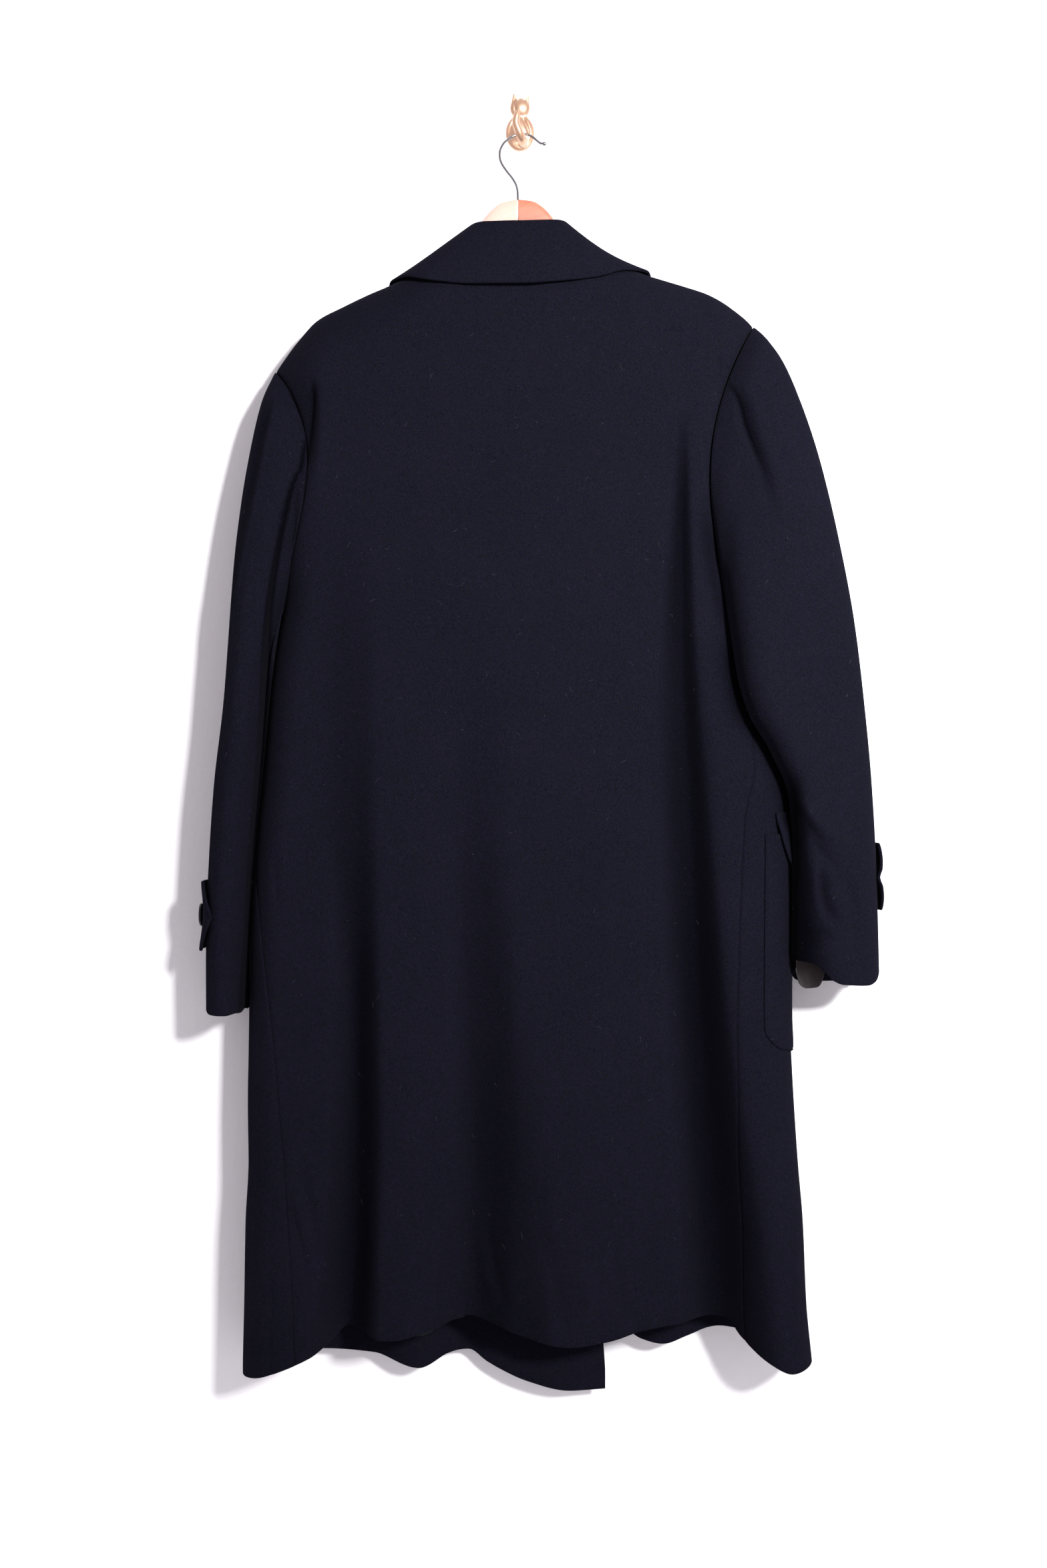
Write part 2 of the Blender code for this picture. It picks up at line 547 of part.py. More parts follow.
def front_points(side):
    """Middle surface of a front, from its armhole and side seam round the side to its free edge."""
    sign = side_sign(side)
    round_share = np.linspace(0, 1, FRONT_ROUND_SPANS + 1)
    flat_share = np.linspace(0, 1, FRONT_FLAT_SPANS[side] + 1)[1:]
    upper = len(ARMHOLE_SHARES)
    ridge = LEFT_RIDGE if side == "left" else RIGHT_RIDGE
    arm_x, arm_drop, _, arm_depth = armhole_point(side, np.array(ARMHOLE_SHARES))

    def across(out_edge, wrap_start, front_edge):
        """Wrap values of the columns, and the length of the flat part, for one level each."""
        start = out_edge - SIDE_ROUNDING
        flat = (start - sign * front_edge) / WRAP_UNIT
        return np.concatenate(
            [
                wrap_start[..., None] + (1 - wrap_start[..., None]) * round_share,
                1 + flat[..., None] * flat_share,
            ],
            axis=-1,
        )

    hem_wrap = across(
        SIDES.read(side, HEM_LEVEL), SEAMS.read(side, HEM_LEVEL), FRONT_EDGES.read(side, HEM_LEVEL)
    )
    hem_x, _ = round_side(side, hem_wrap, np.full(hem_wrap.shape, HEM_LEVEL))
    hem = np.where(hem_wrap < 0.5, BACK_HEM.read("drop", hem_x), FRONT_HEMS[side].read("drop", hem_x))

    # Above the underarm the armhole's edge takes the place of the coat's side.
    turn = math.pi * (0.5 + 0.5 * round_share)
    top_edge = np.abs(arm_x[0])
    top_flat = (top_edge - SIDE_ROUNDING - sign * FRONT_EDGES.read(side, 141)) * flat_share
    top_out = np.concatenate(
        [top_edge - SIDE_ROUNDING + SIDE_ROUNDING * np.sin(turn), top_edge - SIDE_ROUNDING - top_flat]
    )
    top = ridge.read("drop", sign * top_out)
    share = (top_edge - top_out) / (top_edge - top_out[-1])
    neck_level = arm_drop[-1] + (485.0 - arm_drop[-1]) * share
    drop = level_grid(top, neck_level, hem)

    x = np.zeros(drop.shape)
    depth = np.zeros(drop.shape)
    for i in range(upper):
        edge = np.abs(arm_x[i])
        front = DEPTHS.read("front", drop[i])
        start = edge - SIDE_ROUNDING
        flat = (start - sign * FRONT_EDGES.read(side, drop[i][-1])) * flat_share
        out = np.concatenate([start + SIDE_ROUNDING * np.sin(turn), start - flat])
        x[i] = sign * out
        bend = np.concatenate([-np.cos(turn), np.ones(len(flat_share))])
        depth[i] = arm_depth[i] + (front - arm_depth[i]) * bend
        depth[i] += folds(FRONT_FOLDS[side], x[i], drop[i]) * (bend >= 1)
    for i in range(upper, drop.shape[0]):
        level = drop[i]
        wraps = np.array(
            [
                across(SIDES.read(side, d), SEAMS.read(side, d), FRONT_EDGES.read(side, d))[j]
                for j, d in enumerate(level)
            ]
        )
        x[i], depth[i] = round_side(side, wraps, level)
    over = 1 - rounding((drop - top[None, :]) / FRONT_ROUNDING)
    depth = RIDGE_Y + (depth - RIDGE_Y) * over
    return np.stack([x, depth, -drop], axis=2)


def add_panels():
    """Back and two fronts, each drawn in a little at its seams."""
    back = back_points()
    drawn = inset(back, left=SEAM_INSET, right=SEAM_INSET, top=SEAM_INSET)
    wall("back", drawn, CLOTH, "wool", ways=seam_ways(back, (("left", 0), ("right", -1))))
    fronts = {}
    for side in ("left", "right"):
        front = front_points(side)
        fronts[side] = front
        drawn = inset(front, left=SEAM_INSET, top=SEAM_INSET)
        wall(f"{side}_front", drawn, CLOTH, "wool", ways=seam_ways(front, ((side, 0),)))
    return back, fronts


def sleeve_ring(side, row):
    """One ring of a sleeve: down its back from the outer line to the underside, and up its front."""
    top_x, top_drop, under_x, under_drop, middle_y, half_depth, inward = row
    share = np.array(ARMHOLE_SHARES)
    cosine = 1 - 2 * share
    sine = 2 * np.sqrt(share * (1 - share))
    power = 2 / SLEEVE_SQUARENESS
    along = np.sign(cosine) * np.abs(cosine) ** power
    reach = sine**power
    x = (top_x + under_x) / 2 + (top_x - under_x) / 2 * along - side_sign(side) * abs(inward) * sine**2
    drop = (top_drop + under_drop) / 2 + (top_drop - under_drop) / 2 * along
    behind = np.stack([x, middle_y - half_depth * reach, -drop], axis=1)
    before = np.stack([x, middle_y + half_depth * reach, -drop], axis=1)
    return np.concatenate([behind, before[-2:0:-1]])


def sleeve_points(side, back, front):
    """Middle surface of a sleeve, whose first ring follows the armhole of the back and the front."""
    count = len(ARMHOLE_SHARES)
    column = 0 if side == "left" else -1
    start = np.concatenate([back[:count, column], front[:count, 0][-2:0:-1]])
    low = np.array(ARMHOLE_SHARES)
    low = np.concatenate([low, low[-2:0:-1]])
    start = start.copy()
    start[:, 0] += side_sign(side) * (SLEEVE_START + UNDERARM_START * low**3)
    rings = [start] + [sleeve_ring(side, row) for row in SLEEVES[side][1:]]
    return np.array(rings)


def cuff_surface(side, drop, turn):
    """A point on the outer face of a sleeve near the cuff, and the way out from it."""
    rows = np.array(SLEEVES[side][1:])
    columns = [np.interp(drop, rows[:, 1], rows[:, i]) for i in (0, 2, 4, 5)]
    top_x, under_x, middle_y, half_depth = columns
    power = 2 / SLEEVE_SQUARENESS

    def at(angle):
        along = np.sign(np.cos(angle)) * np.abs(np.cos(angle)) ** power
        reach = np.sign(np.sin(angle)) * np.abs(np.sin(angle)) ** power
        x = (top_x + under_x) / 2 + (top_x - under_x) / 2 * along
        return np.stack([x, middle_y - half_depth * reach, -np.broadcast_to(drop, x.shape)], axis=-1)

    small = 0.02
    run = at(turn + small) - at(turn - small)
    out = np.stack([run[..., 1], -run[..., 0], np.zeros(run.shape[:-1])], axis=-1)
    out = out / np.linalg.norm(out, axis=-1, keepdims=True)
    facing = np.sign(out[..., :1] * side_sign(side) + 1e-9)
    return at(turn), out * facing


def add_sleeves(back, fronts):
    """Both sleeves, each with a buttoned tab near the cuff."""
    for side in ("left", "right"):
        wall(f"{side}_sleeve", sleeve_points(side, back, fronts[side]), CLOTH, "wool", closed=True)
        add_tab(side)


def add_tab(side):
    """A cuff tab with a pointed end, held down at its button and lifting at its edges."""
    top, bottom = (TABS[side][name] for name in ("top", "bottom"))
    middle = (top + bottom) / 2
    half = (bottom - top) / 2
    along = np.linspace(-1, 1, 11)
    turn = np.radians(TAB_REACH) * along
    taper = np.interp(along, (-1, 0.55, 1), (1, 1, 0.25))
    across = np.linspace(-1, 1, 7)[:, None]
    drop = middle + across * half * taper[None, :]
    surface, out = cuff_surface(side, drop, np.broadcast_to(turn, drop.shape))
    far = np.sqrt(across**2 + (along[None, :] / 0.6) ** 2)
    lift = CLOTH / 2 + LAYER_GAP + TAB_WALL / 2 + TAB_LIFT * np.clip(far, 0, 1) ** 2 * np.abs(across)
    wall(f"{side}_cuff_tab", surface + out * lift[..., None], TAB_WALL, "wool")
    centre, way = cuff_surface(side, np.array([middle]), np.array([0.0]))
    stand = CLOTH / 2 + LAYER_GAP * 2 + TAB_WALL + BUTTON_STAND
    add_button(f"{side}_cuff_button", centre[0] + way[0] * stand, way[0])


def add_button(name, base, way):
    """A round button with a raised rim, turned about the way that it faces."""
    profile = (
        (0.0, 0.0), (BUTTON_RADIUS * 0.8, 0.0), (BUTTON_RADIUS, BUTTON_THICKNESS * 0.4),
        (BUTTON_RADIUS * 0.96, BUTTON_THICKNESS), (BUTTON_RADIUS * 0.78, BUTTON_THICKNESS),
        (BUTTON_RADIUS * 0.7, BUTTON_THICKNESS * 0.7), (0.0, BUTTON_THICKNESS * 0.7),
    )
    sides = 14
    way = np.asarray(way) / np.linalg.norm(way)
    across = np.cross(way, (0.0, 0.0, 1.0))
    across = across / np.linalg.norm(across)
    up = np.cross(way, across)
    vertices = [base]
    for radius, height in profile[1:-1]:
        for k in range(sides):
            angle = math.tau * k / sides
            spoke = across * math.cos(angle) + up * math.sin(angle)
            vertices.append(base + way * height + spoke * radius)
    vertices.append(base + way * profile[-1][1])
    rings = len(profile) - 2
    last = len(vertices) - 1
    faces = []
    for k in range(sides):
        n = (k + 1) % sides
        faces.append((0, 1 + k, 1 + n))
        for ring in range(rings - 1):
            a = 1 + ring * sides
            faces.append((a + k, a + sides + k, a + sides + n, a + n))
        a = 1 + (rings - 1) * sides
        faces.append((a + n, a + k, last))
    return add_object(name, vertices, faces, "button")


def outward(side, front):
    """Unit normals of a front that point out of the coat."""
    return -side_sign(side) * normals_of(front, False)


def on_front(side, front, column, drop):
    """A point of a front's own surface in a given column at a given drop, and the way out there."""
    low = np.clip(np.floor(column).astype(int), 0, front.shape[1] - 2)
    share = column - low
    row = np.zeros(column.shape)
    for at in np.ndindex(column.shape):
        levels = front[:, low[at]] * (1 - share[at]) + front[:, low[at] + 1] * share[at]
        row[at] = np.interp(drop[at], -levels[:, 2], np.arange(front.shape[0]))
    above = np.clip(np.floor(row).astype(int), 0, front.shape[0] - 2)
    fall = (row - above)[..., None]
    share = share[..., None]

    def mixed(grid):
        upper = grid[above, low] * (1 - share) + grid[above, low + 1] * share
        lower = grid[above + 1, low] * (1 - share) + grid[above + 1, low + 1] * share
        return upper * (1 - fall) + lower * fall

    way = mixed(outward(side, front))
    return mixed(front), way / np.linalg.norm(way, axis=-1, keepdims=True)


def front_column(side, wrap, drop):
    """Which column of a front lies at a place counted round the side."""
    seam = SEAMS.read(side, drop)
    sign = side_sign(side)
    flat = (SIDES.read(side, drop) - SIDE_ROUNDING - sign * FRONT_EDGES.read(side, drop)) / WRAP_UNIT
    on_round = FRONT_ROUND_SPANS * (wrap - seam) / (1 - seam)
    on_flat = FRONT_ROUND_SPANS + FRONT_FLAT_SPANS[side] * (wrap - 1) / flat
    return np.where(wrap < 1, on_round, on_flat)


def front_columns(side, start, end, drop):
    """Columns of a patch on a front at one drop each: its two ends, and the front's own between."""
    first = front_column(side, start, drop)[:, None]
    last = front_column(side, end, drop)[:, None]
    own = np.arange(math.ceil(first.min() + 0.3), math.floor(last.max() - 0.3) + 1)[None, :]
    order = np.arange(1, own.shape[1] + 1)[None, :]
    held = np.maximum(own, first + COLUMN_CROWDING * order)
    held = np.minimum(held, last - COLUMN_CROWDING * order[:, ::-1])
    return np.concatenate([first, held, last], axis=1)


def add_pocket(side, front):
    """A patch pocket with round lower corners, and the flap over its mouth."""
    pocket = POCKETS[side]
    level = np.linspace(pocket["top"], pocket["bottom"], 9)
    column = front_columns(side, pocket["start"], pocket["end"], level)
    rise = np.zeros(column.shape[1])
    rise[: len(POCKET_CORNERS)] = POCKET_CORNERS
    rise[-len(POCKET_CORNERS) :] = POCKET_CORNERS[::-1]
    down = (level - pocket["top"]) / (pocket["bottom"] - pocket["top"])
    drop = level[:, None] - rise[None, :] * down[:, None]
    surface, out = on_front(side, front, column, drop)
    lift = CLOTH / 2 + POCKET_GAP + POCKET_WALL / 2
    wall(f"{side}_pocket", surface + out * lift, POCKET_WALL, "wool")

    level = np.linspace(pocket["flap_top"], pocket["flap_top"] + FLAP_HEIGHT, 6)
    column = front_columns(side, pocket["flap_start"], pocket["end"] + FLAP_OVERHANG, level)
    drop = np.broadcast_to(level[:, None], column.shape)
    surface, out = on_front(side, front, column, drop)
    over_pocket = np.clip((drop - pocket["top"] + 16) / 12, 0, 1)
    down = (drop - pocket["flap_top"]) / FLAP_HEIGHT
    free = np.clip(1 - np.arange(column.shape[1]) / FLAP_FREE_COLUMNS, 0, 1)[None, :]
    lift = CLOTH / 2 + POCKET_GAP + FLAP_WALL / 2 + over_pocket * (POCKET_WALL + LAYER_GAP)
    lift = lift + FLAP_LIFT * free * down
    wall(f"{side}_flap", surface + out * lift[..., None], FLAP_WALL, "wool")


def add_lining(side, front):
    """The lining inside a front, from the side to the facing, ending above the hem's turn-up."""
    first_row = len(ARMHOLE_SHARES) - 4
    inner = front - outward(side, front) * (CLOTH / 2 + LAYER_GAP + LINING_WALL / 2)
    points = inner[first_row:, LINING_COLUMNS[0] : -LINING_COLUMNS[1]].copy()
    step = points[-1] - points[-2]
    points[-1] -= step * (LINING_RISE / np.linalg.norm(step, axis=-1, keepdims=True))
    wall(f"{side}_front_lining", points, LINING_WALL, "lining")


def add_lapel(side):
    """A lapel turned back on the front, from its turning line to its outer edge."""
    table = LAPELS[side]
    sign = side_sign(side)
    down = np.linspace(0, 1, 10)[:, None]
    share = np.linspace(0, 1, 6)[None, :]
    turn_drop = table.read("turn_drop", down)
    turn_x = FRONT_EDGES.read(side, turn_drop) + sign * 1.5
    outer_x = table.read("outer_x", down)
    outer_drop = table.read("outer_drop", down)
    x = turn_x + (outer_x - turn_x) * share
    drop = turn_drop + (outer_drop - turn_drop) * share
    depth = LAPEL_Y + 0 * x
    wall(f"{side}_lapel", np.stack([x, depth, -drop], axis=2), CLOTH, "wool")


def collar_points():
    """Middle surface of the collar: stand, round fold and fall, along the neck."""
    along = np.linspace(0, 1, COLLAR_COLUMNS)

    def column(kind):
        x, y, drop = (COLLAR.read(f"{kind}_{axis}", along) for axis in ("x", "y", "drop"))
        return np.stack([x, y, -drop], axis=1)

    fold, edge, seam = column("fold"), column("edge"), column("seam")
    out = np.stack([COLLAR.read(f"out_{axis}", along) for axis in ("x", "y", "z")], axis=1)
    out = out / np.linalg.norm(out, axis=1, keepdims=True)
    tip = fold - (edge + seam) / 2
    tip = tip - out * np.sum(tip * out, axis=1, keepdims=True)
    tip = tip / np.linalg.norm(tip, axis=1, keepdims=True)
    inner = fold - out * COLLAR_FOLD_RADIUS
    outer = fold + out * COLLAR_FOLD_RADIUS
    lines = [seam + (inner - seam) * share for share in STAND_SHARES]
    for angle in FOLD_ANGLES:
        bend = math.radians(angle)
        lines.append(fold + COLLAR_FOLD_RADIUS * (out * math.sin(bend) + tip * math.cos(bend)))
    swell = COLLAR.read("swell", along)[:, None]
    for share in FALL_SHARES:
        lines.append(outer + (edge - outer) * share + out * swell * math.sin(math.pi * share))
    return np.array(lines)


def add_hanger():
    """Two wooden halves that meet under the wire."""
    for side, finish in (("left", "pale_wood"), ("right", "dark_wood")):
        sign = side_sign(side)
        vertices = []
        for out in HANGER_STATIONS:
            top, bottom, half = (float(HANGER.read(name, out)) for name in ("top", "bottom", "half_thick"))
            near_end = max(0.0, (out - HANGER_STATIONS[-3]) / (HANGER_STATIONS[-1] - HANGER_STATIONS[-3]))
            half -= HANGER_END_TAPER * near_end**2
            tilt = -sign * HANGER_TILT * out
            for across, down, up in HANGER_SECTION:
                drop = top + down if up == 0 else bottom - up
                vertices.append((HANGER_X + sign * out, RIDGE_Y + across * half, -drop - tilt))
        count = len(HANGER_SECTION)
        faces = [tuple(range(count)), tuple(len(vertices) - 1 - i for i in range(count))]
        for i in range(len(HANGER_STATIONS) - 1):
            for j in range(count):
                a = i * count + j
                b = i * count + (j + 1) % count
                faces.append((b, a, a + count, b + count))
        add_object(f"{side}_hanger_half", vertices, faces, finish)


def smooth_route(points, per_step):
    """Catmull-Rom curve through a short route."""
    route = np.array(points, dtype=float)
    route = np.concatenate([[2 * route[0] - route[1]], route, [2 * route[-1] - route[-2]]])
    found = []
    for i in range(1, len(route) - 2):
        p0, p1, p2, p3 = route[i - 1 : i + 3]
        squared = 2 * p0 - 5 * p1 + 4 * p2 - p3
        cubed = 3 * p1 - p0 - 3 * p2 + p3
        for t in np.linspace(0, 1, per_step, endpoint=False):
            found.append(0.5 * (2 * p1 + (p2 - p0) * t + squared * t**2 + cubed * t**3))
    found.append(route[-2])
    return np.array(found)


def tube(name, path, radii, sides, finish):
    """A round solid along a path, with its own radius at each point and closed ends."""
    path = np.asarray(path)
    run = np.gradient(path, axis=0)
    run = run / np.linalg.norm(run, axis=1, keepdims=True)
    across = np.cross(run[0], (0.0, 1.0, 0.0))
    vertices = []
    for point, way, radius in zip(path, run, radii):
        across = across - way * np.dot(across, way)
        across = across / np.linalg.norm(across)
        up = np.cross(way, across)
        for k in range(sides):
            angle = math.tau * k / sides
            vertices.append(point + radius * (across * math.cos(angle) + up * math.sin(angle)))
    faces = [tuple(range(sides)), tuple(len(vertices) - 1 - i for i in range(sides))]
    for i in range(len(path) - 1):
        for k in range(sides):
            a = i * sides + k
            b = i * sides + (k + 1) % sides
            faces.append((b, a, a + sides, b + sides))
    return add_object(name, vertices, faces, finish)


def add_wire():
    """The hanger's wire hook, leaning from the hanger back to the wall hook, with a ball end."""
    flat = smooth_route(WIRE_ROUTE, 2)
    top_drop = min(drop for _, drop in WIRE_ROUTE)
    lean = (RIDGE_Y - WIRE_TOP_Y) / (WIRE_ROUTE[0][1] - top_drop)
    path = np.stack([flat[:, 0], WIRE_TOP_Y + lean * (flat[:, 1] - top_drop), -flat[:, 1]], axis=1)
    radii = np.full(len(path), WIRE_RADIUS)
    way = path[-1] - path[-2]
    way = way / np.linalg.norm(way)
    ball = path[-1] + way * WIRE_BALL * 0.8
    angles = np.radians((-50, -20, 10, 40, 68, 85))
    path = np.concatenate([path, ball + np.outer(np.sin(angles), way) * WIRE_BALL])
    radii = np.concatenate([radii, WIRE_BALL * np.cos(angles)])
    tube("hanger_wire", path, radii, 10, "steel")


def hook_outline():
    """Outline of the cat: a round body, a neck, a round head and two ears."""
    body, head = HOOK_BODY, HOOK_HEAD

    def arc(centre, half_width, half_height, degrees):
        angles = np.radians(degrees)
        across = centre["x"] + half_width * np.cos(angles)
        upward = centre["z"] + half_height * np.sin(angles)
        return [(float(x), float(z)) for x, z in zip(across, upward)]

    points = arc(body, body["half_width"], body["half_height"], np.linspace(-90, 55, 12))
    points.append((body["x"] + HOOK_NECK[0], HOOK_NECK[1]))
    points += arc(head, head["radius"], head["radius"], (-35, -10, 12))
    points += list(RIGHT_EAR)
    points += list(LEFT_EAR)
    points += arc(head, head["radius"], head["radius"], (168, 190, 215))
    points.append((body["x"] - HOOK_NECK[0], HOOK_NECK[1]))
    points += arc(body, body["half_width"], body["half_height"], np.linspace(125, 270, 12)[:-1])
    return points


def add_wall_hook():
    """A flat-backed cat whose raised tail is the hook, made in one piece."""
    outline = hook_outline()
    count = len(outline)
    vertices = [(x, 0.0, z) for x, z in outline] + [(x, -HOOK_THICKNESS, z) for x, z in outline]
    faces = [tuple(range(count)), tuple(range(2 * count - 1, count - 1, -1))]
    for i in range(count):
        n = (i + 1) % count
        faces.append((n, i, count + i, count + n))
    hook = add_object("wall_hook", vertices, faces, "copper")
    bevel = hook.modifiers.new("soft edges", "BEVEL")
    bevel.width = HOOK_BEVEL * MILLIMETRE
    bevel.segments = 2
    bevel.limit_method = "ANGLE"
    bevel.angle_limit = math.radians(50)
    share = np.linspace(0, 1, TAIL_RINGS)
    route = np.stack([TAIL_ROUTE.read(axis, share) for axis in ("x", "y", "z")], axis=1)
    tail = tube("tail_guide", route, TAIL_ROUTE.read("radius", share), 10, "copper")
    tail.hide_render = True
    tail.display_type = "WIRE"
    joined = hook.modifiers.new("tail", "BOOLEAN")
    joined.operation = "UNION"
    joined.object = tail
    return hook


def add_front_buttons(front):
    """Buttons on the wearer's right front, on the side that faces the wall."""
    for number, level in enumerate(FRONT_BUTTON_DROPS, start=1):
        drop = np.array([level])
        edge = FRONT_EDGES.read("right", drop) + FRONT_BUTTON_INSET
        wrap = 1 + (SIDES.read("right", drop) - SIDE_ROUNDING - edge) / WRAP_UNIT
        surface, out = on_front("right", front, front_column("right", wrap, drop), drop)
        add_button(f"front_button_{number}", surface[0] + out[0] * (CLOTH / 2 + LAYER_GAP), out[0])


def main():
    for old in list(bpy.data.objects):
        bpy.data.objects.remove(old, do_unlink=True)
    back, fronts = add_panels()
    add_sleeves(back, fronts)
    for side in ("left", "right"):
        add_lapel(side)
        add_pocket(side, fronts[side])
        add_lining(side, fronts[side])
    wall("collar", collar_points(), COLLAR_WALL, "wool")
    add_front_buttons(fronts["right"])
    add_hanger()
    add_wire()
    add_wall_hook()


main()
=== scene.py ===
import math

import bpy
import numpy as np
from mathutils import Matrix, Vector


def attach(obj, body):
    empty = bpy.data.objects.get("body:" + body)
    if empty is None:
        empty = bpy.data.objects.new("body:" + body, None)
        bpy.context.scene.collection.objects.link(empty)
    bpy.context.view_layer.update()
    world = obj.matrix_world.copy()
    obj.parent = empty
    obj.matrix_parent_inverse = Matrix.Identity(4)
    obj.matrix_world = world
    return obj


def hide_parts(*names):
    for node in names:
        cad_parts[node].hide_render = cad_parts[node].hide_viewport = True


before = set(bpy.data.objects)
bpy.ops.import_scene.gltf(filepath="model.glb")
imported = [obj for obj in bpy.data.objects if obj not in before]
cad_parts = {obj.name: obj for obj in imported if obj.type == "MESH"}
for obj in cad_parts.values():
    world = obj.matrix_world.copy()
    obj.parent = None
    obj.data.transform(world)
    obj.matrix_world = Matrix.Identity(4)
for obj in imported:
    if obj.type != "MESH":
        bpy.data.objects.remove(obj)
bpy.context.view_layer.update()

mm = 0.001
rng = np.random.default_rng(7)


class Table:
    # Rows of sizes with named columns, read along the first column by a cubic that never overshoots a row.
    def __init__(self, names, *rows):
        self.names = names.split()
        self.rows = np.array(rows, dtype=float)

    def read(self, name, at):
        keys = self.rows[:, 0]
        return smoothRead(keys, self.rows[:, self.names.index(name)], at)


def smoothRead(keys, values, at):
    # Monotone cubic through values[k] at keys[k]; values may be stacked arrays along the first axis.
    keys = np.asarray(keys, float)
    values = np.asarray(values, float)
    gaps = np.diff(keys).reshape((-1,) + (1,) * (values.ndim - 1))
    steps = np.diff(values, axis=0) / gaps
    rising = steps[1:] * steps[:-1] > 0
    total = np.where(rising, steps[1:] + steps[:-1], 1.0)
    slopes = np.zeros(values.shape)
    slopes[0] = steps[0]
    slopes[-1] = steps[-1]
    slopes[1:-1] = np.where(rising, 2 * steps[1:] * steps[:-1] / total, 0.0)
    held = np.clip(np.asarray(at, float), keys[0], keys[-1])
    low = np.clip(np.searchsorted(keys, held, side="right") - 1, 0, len(keys) - 2)
    width = (keys[low + 1] - keys[low]).reshape(held.shape + (1,) * (values.ndim - 1))
    t = (held - keys[low]).reshape(width.shape) / width
    start = (2 * t**3 - 3 * t**2 + 1) * values[low] + (t**3 - 2 * t**2 + t) * width * slopes[low]
    end = (3 * t**2 - 2 * t**3) * values[low + 1] + (t**3 - t**2) * width * slopes[low + 1]
    return start + end


def troughLine(*rows):
    # A trough down the cloth: how deep it is and how wide to its left and right; a minus depth is a ridge.
    return Table("drop x depth left right", *rows)


def paintedShadeBand(*rows):
    # A band of painted shade, darkest where little light reaches: its amount fades to each side.
    return Table("drop x left right amount", *rows)


def softStep(value, start, end):
    # 0 before start, 1 after end and a smooth rise between.
    t = np.clip((value - start) / (end - start), 0, 1)
    return t * t * (3 - 2 * t)


def sideSign(side):
    # The way out along x: minus on the left.
    return -1.0 if side == "left" else 1.0


def makeObject(name, points, faces, material, slot):
    # One mesh object in metres, turned so that its faces point outwards. Each face has four corners, and a
    # triangle says its last corner twice.
    points = np.asarray(points, float)
    corner = points[faces[:, 0]]
    volume = 0.0
    for k in range(1, faces.shape[1] - 1):
        volume += np.einsum("ij,ij->i", corner, np.cross(points[faces[:, k]], points[faces[:, k + 1]])).sum()
    if volume < 0:
        faces = faces[:, ::-1]
    flat = faces[:, 3] == faces[:, 2]
    corners = np.where(flat, 3, 4)
    keep = np.ones(faces.shape, bool)
    keep[flat, 3] = False
    loops = faces[keep]
    starts = np.concatenate([[0], np.cumsum(corners)[:-1]])
    mesh = bpy.data.meshes.new(name)
    mesh.vertices.add(len(points))
    mesh.vertices.foreach_set("co", (points * mm).astype(np.float32).ravel())
    mesh.loops.add(len(loops))
    mesh.loops.foreach_set("vertex_index", loops.astype(np.int32))
    mesh.polygons.add(len(faces))
    mesh.polygons.foreach_set("loop_start", starts.astype(np.int32))
    mesh.polygons.foreach_set("use_smooth", np.ones(len(faces), bool))
    mesh.materials.append(material)
    mesh.update(calc_edges=True)
    mesh.validate()
    made = bpy.data.objects.new(name, mesh)
    bpy.context.scene.collection.objects.link(made)
    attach(made, "root")
    return made


def gridFaces(rows, columns, start=0, closed=False):
    # Quads between the rows and columns of a grid whose first vertex has the index start.
    index = start + np.arange(rows * columns).reshape(rows, columns)
    if closed:
        index = np.concatenate([index, index[:, :1]], axis=1)
    return np.stack([index[:-1, :-1], index[:-1, 1:], index[1:, 1:], index[1:, :-1]], axis=-1).reshape(-1, 4)


def fan(middle, ring, turned=False):
    # Triangles from one middle vertex to each step of a closed ring.
    after = np.roll(ring, -1)
    near, far = (after, ring) if turned else (ring, after)
    return np.stack([np.full(len(ring), middle), near, far, far], axis=1)


def closedRings(rings, ends):
    # A solid of closed rings, shut at each end by fans from a middle point.
    rows, size = rings.shape[:2]
    count = rows * size
    first = np.arange(size)
    faces = [gridFaces(rows, size, 0, True), fan(count, first, True), fan(count + 1, first + count - size)]
    return np.concatenate([rings.reshape(-1, 3), np.reshape(ends, (-1, 3))]), np.concatenate(faces)


def unit(vectors):
    # Vectors divided by their own lengths.
    return vectors / np.maximum(np.linalg.norm(vectors, axis=-1, keepdims=True), 1e-9)


def gridNormals(points, closed=False):
    # Unit normals from the cross product of the steps across and down a grid.
    if closed:
        padded = np.concatenate([points[:, -1:], points, points[:, :1]], axis=1)
        across = padded[:, 2:] - padded[:, :-2]
    else:
        across = np.gradient(points, axis=1)
    return unit(np.cross(across, np.gradient(points, axis=0)))


rimAngles = (50, 0, -50)


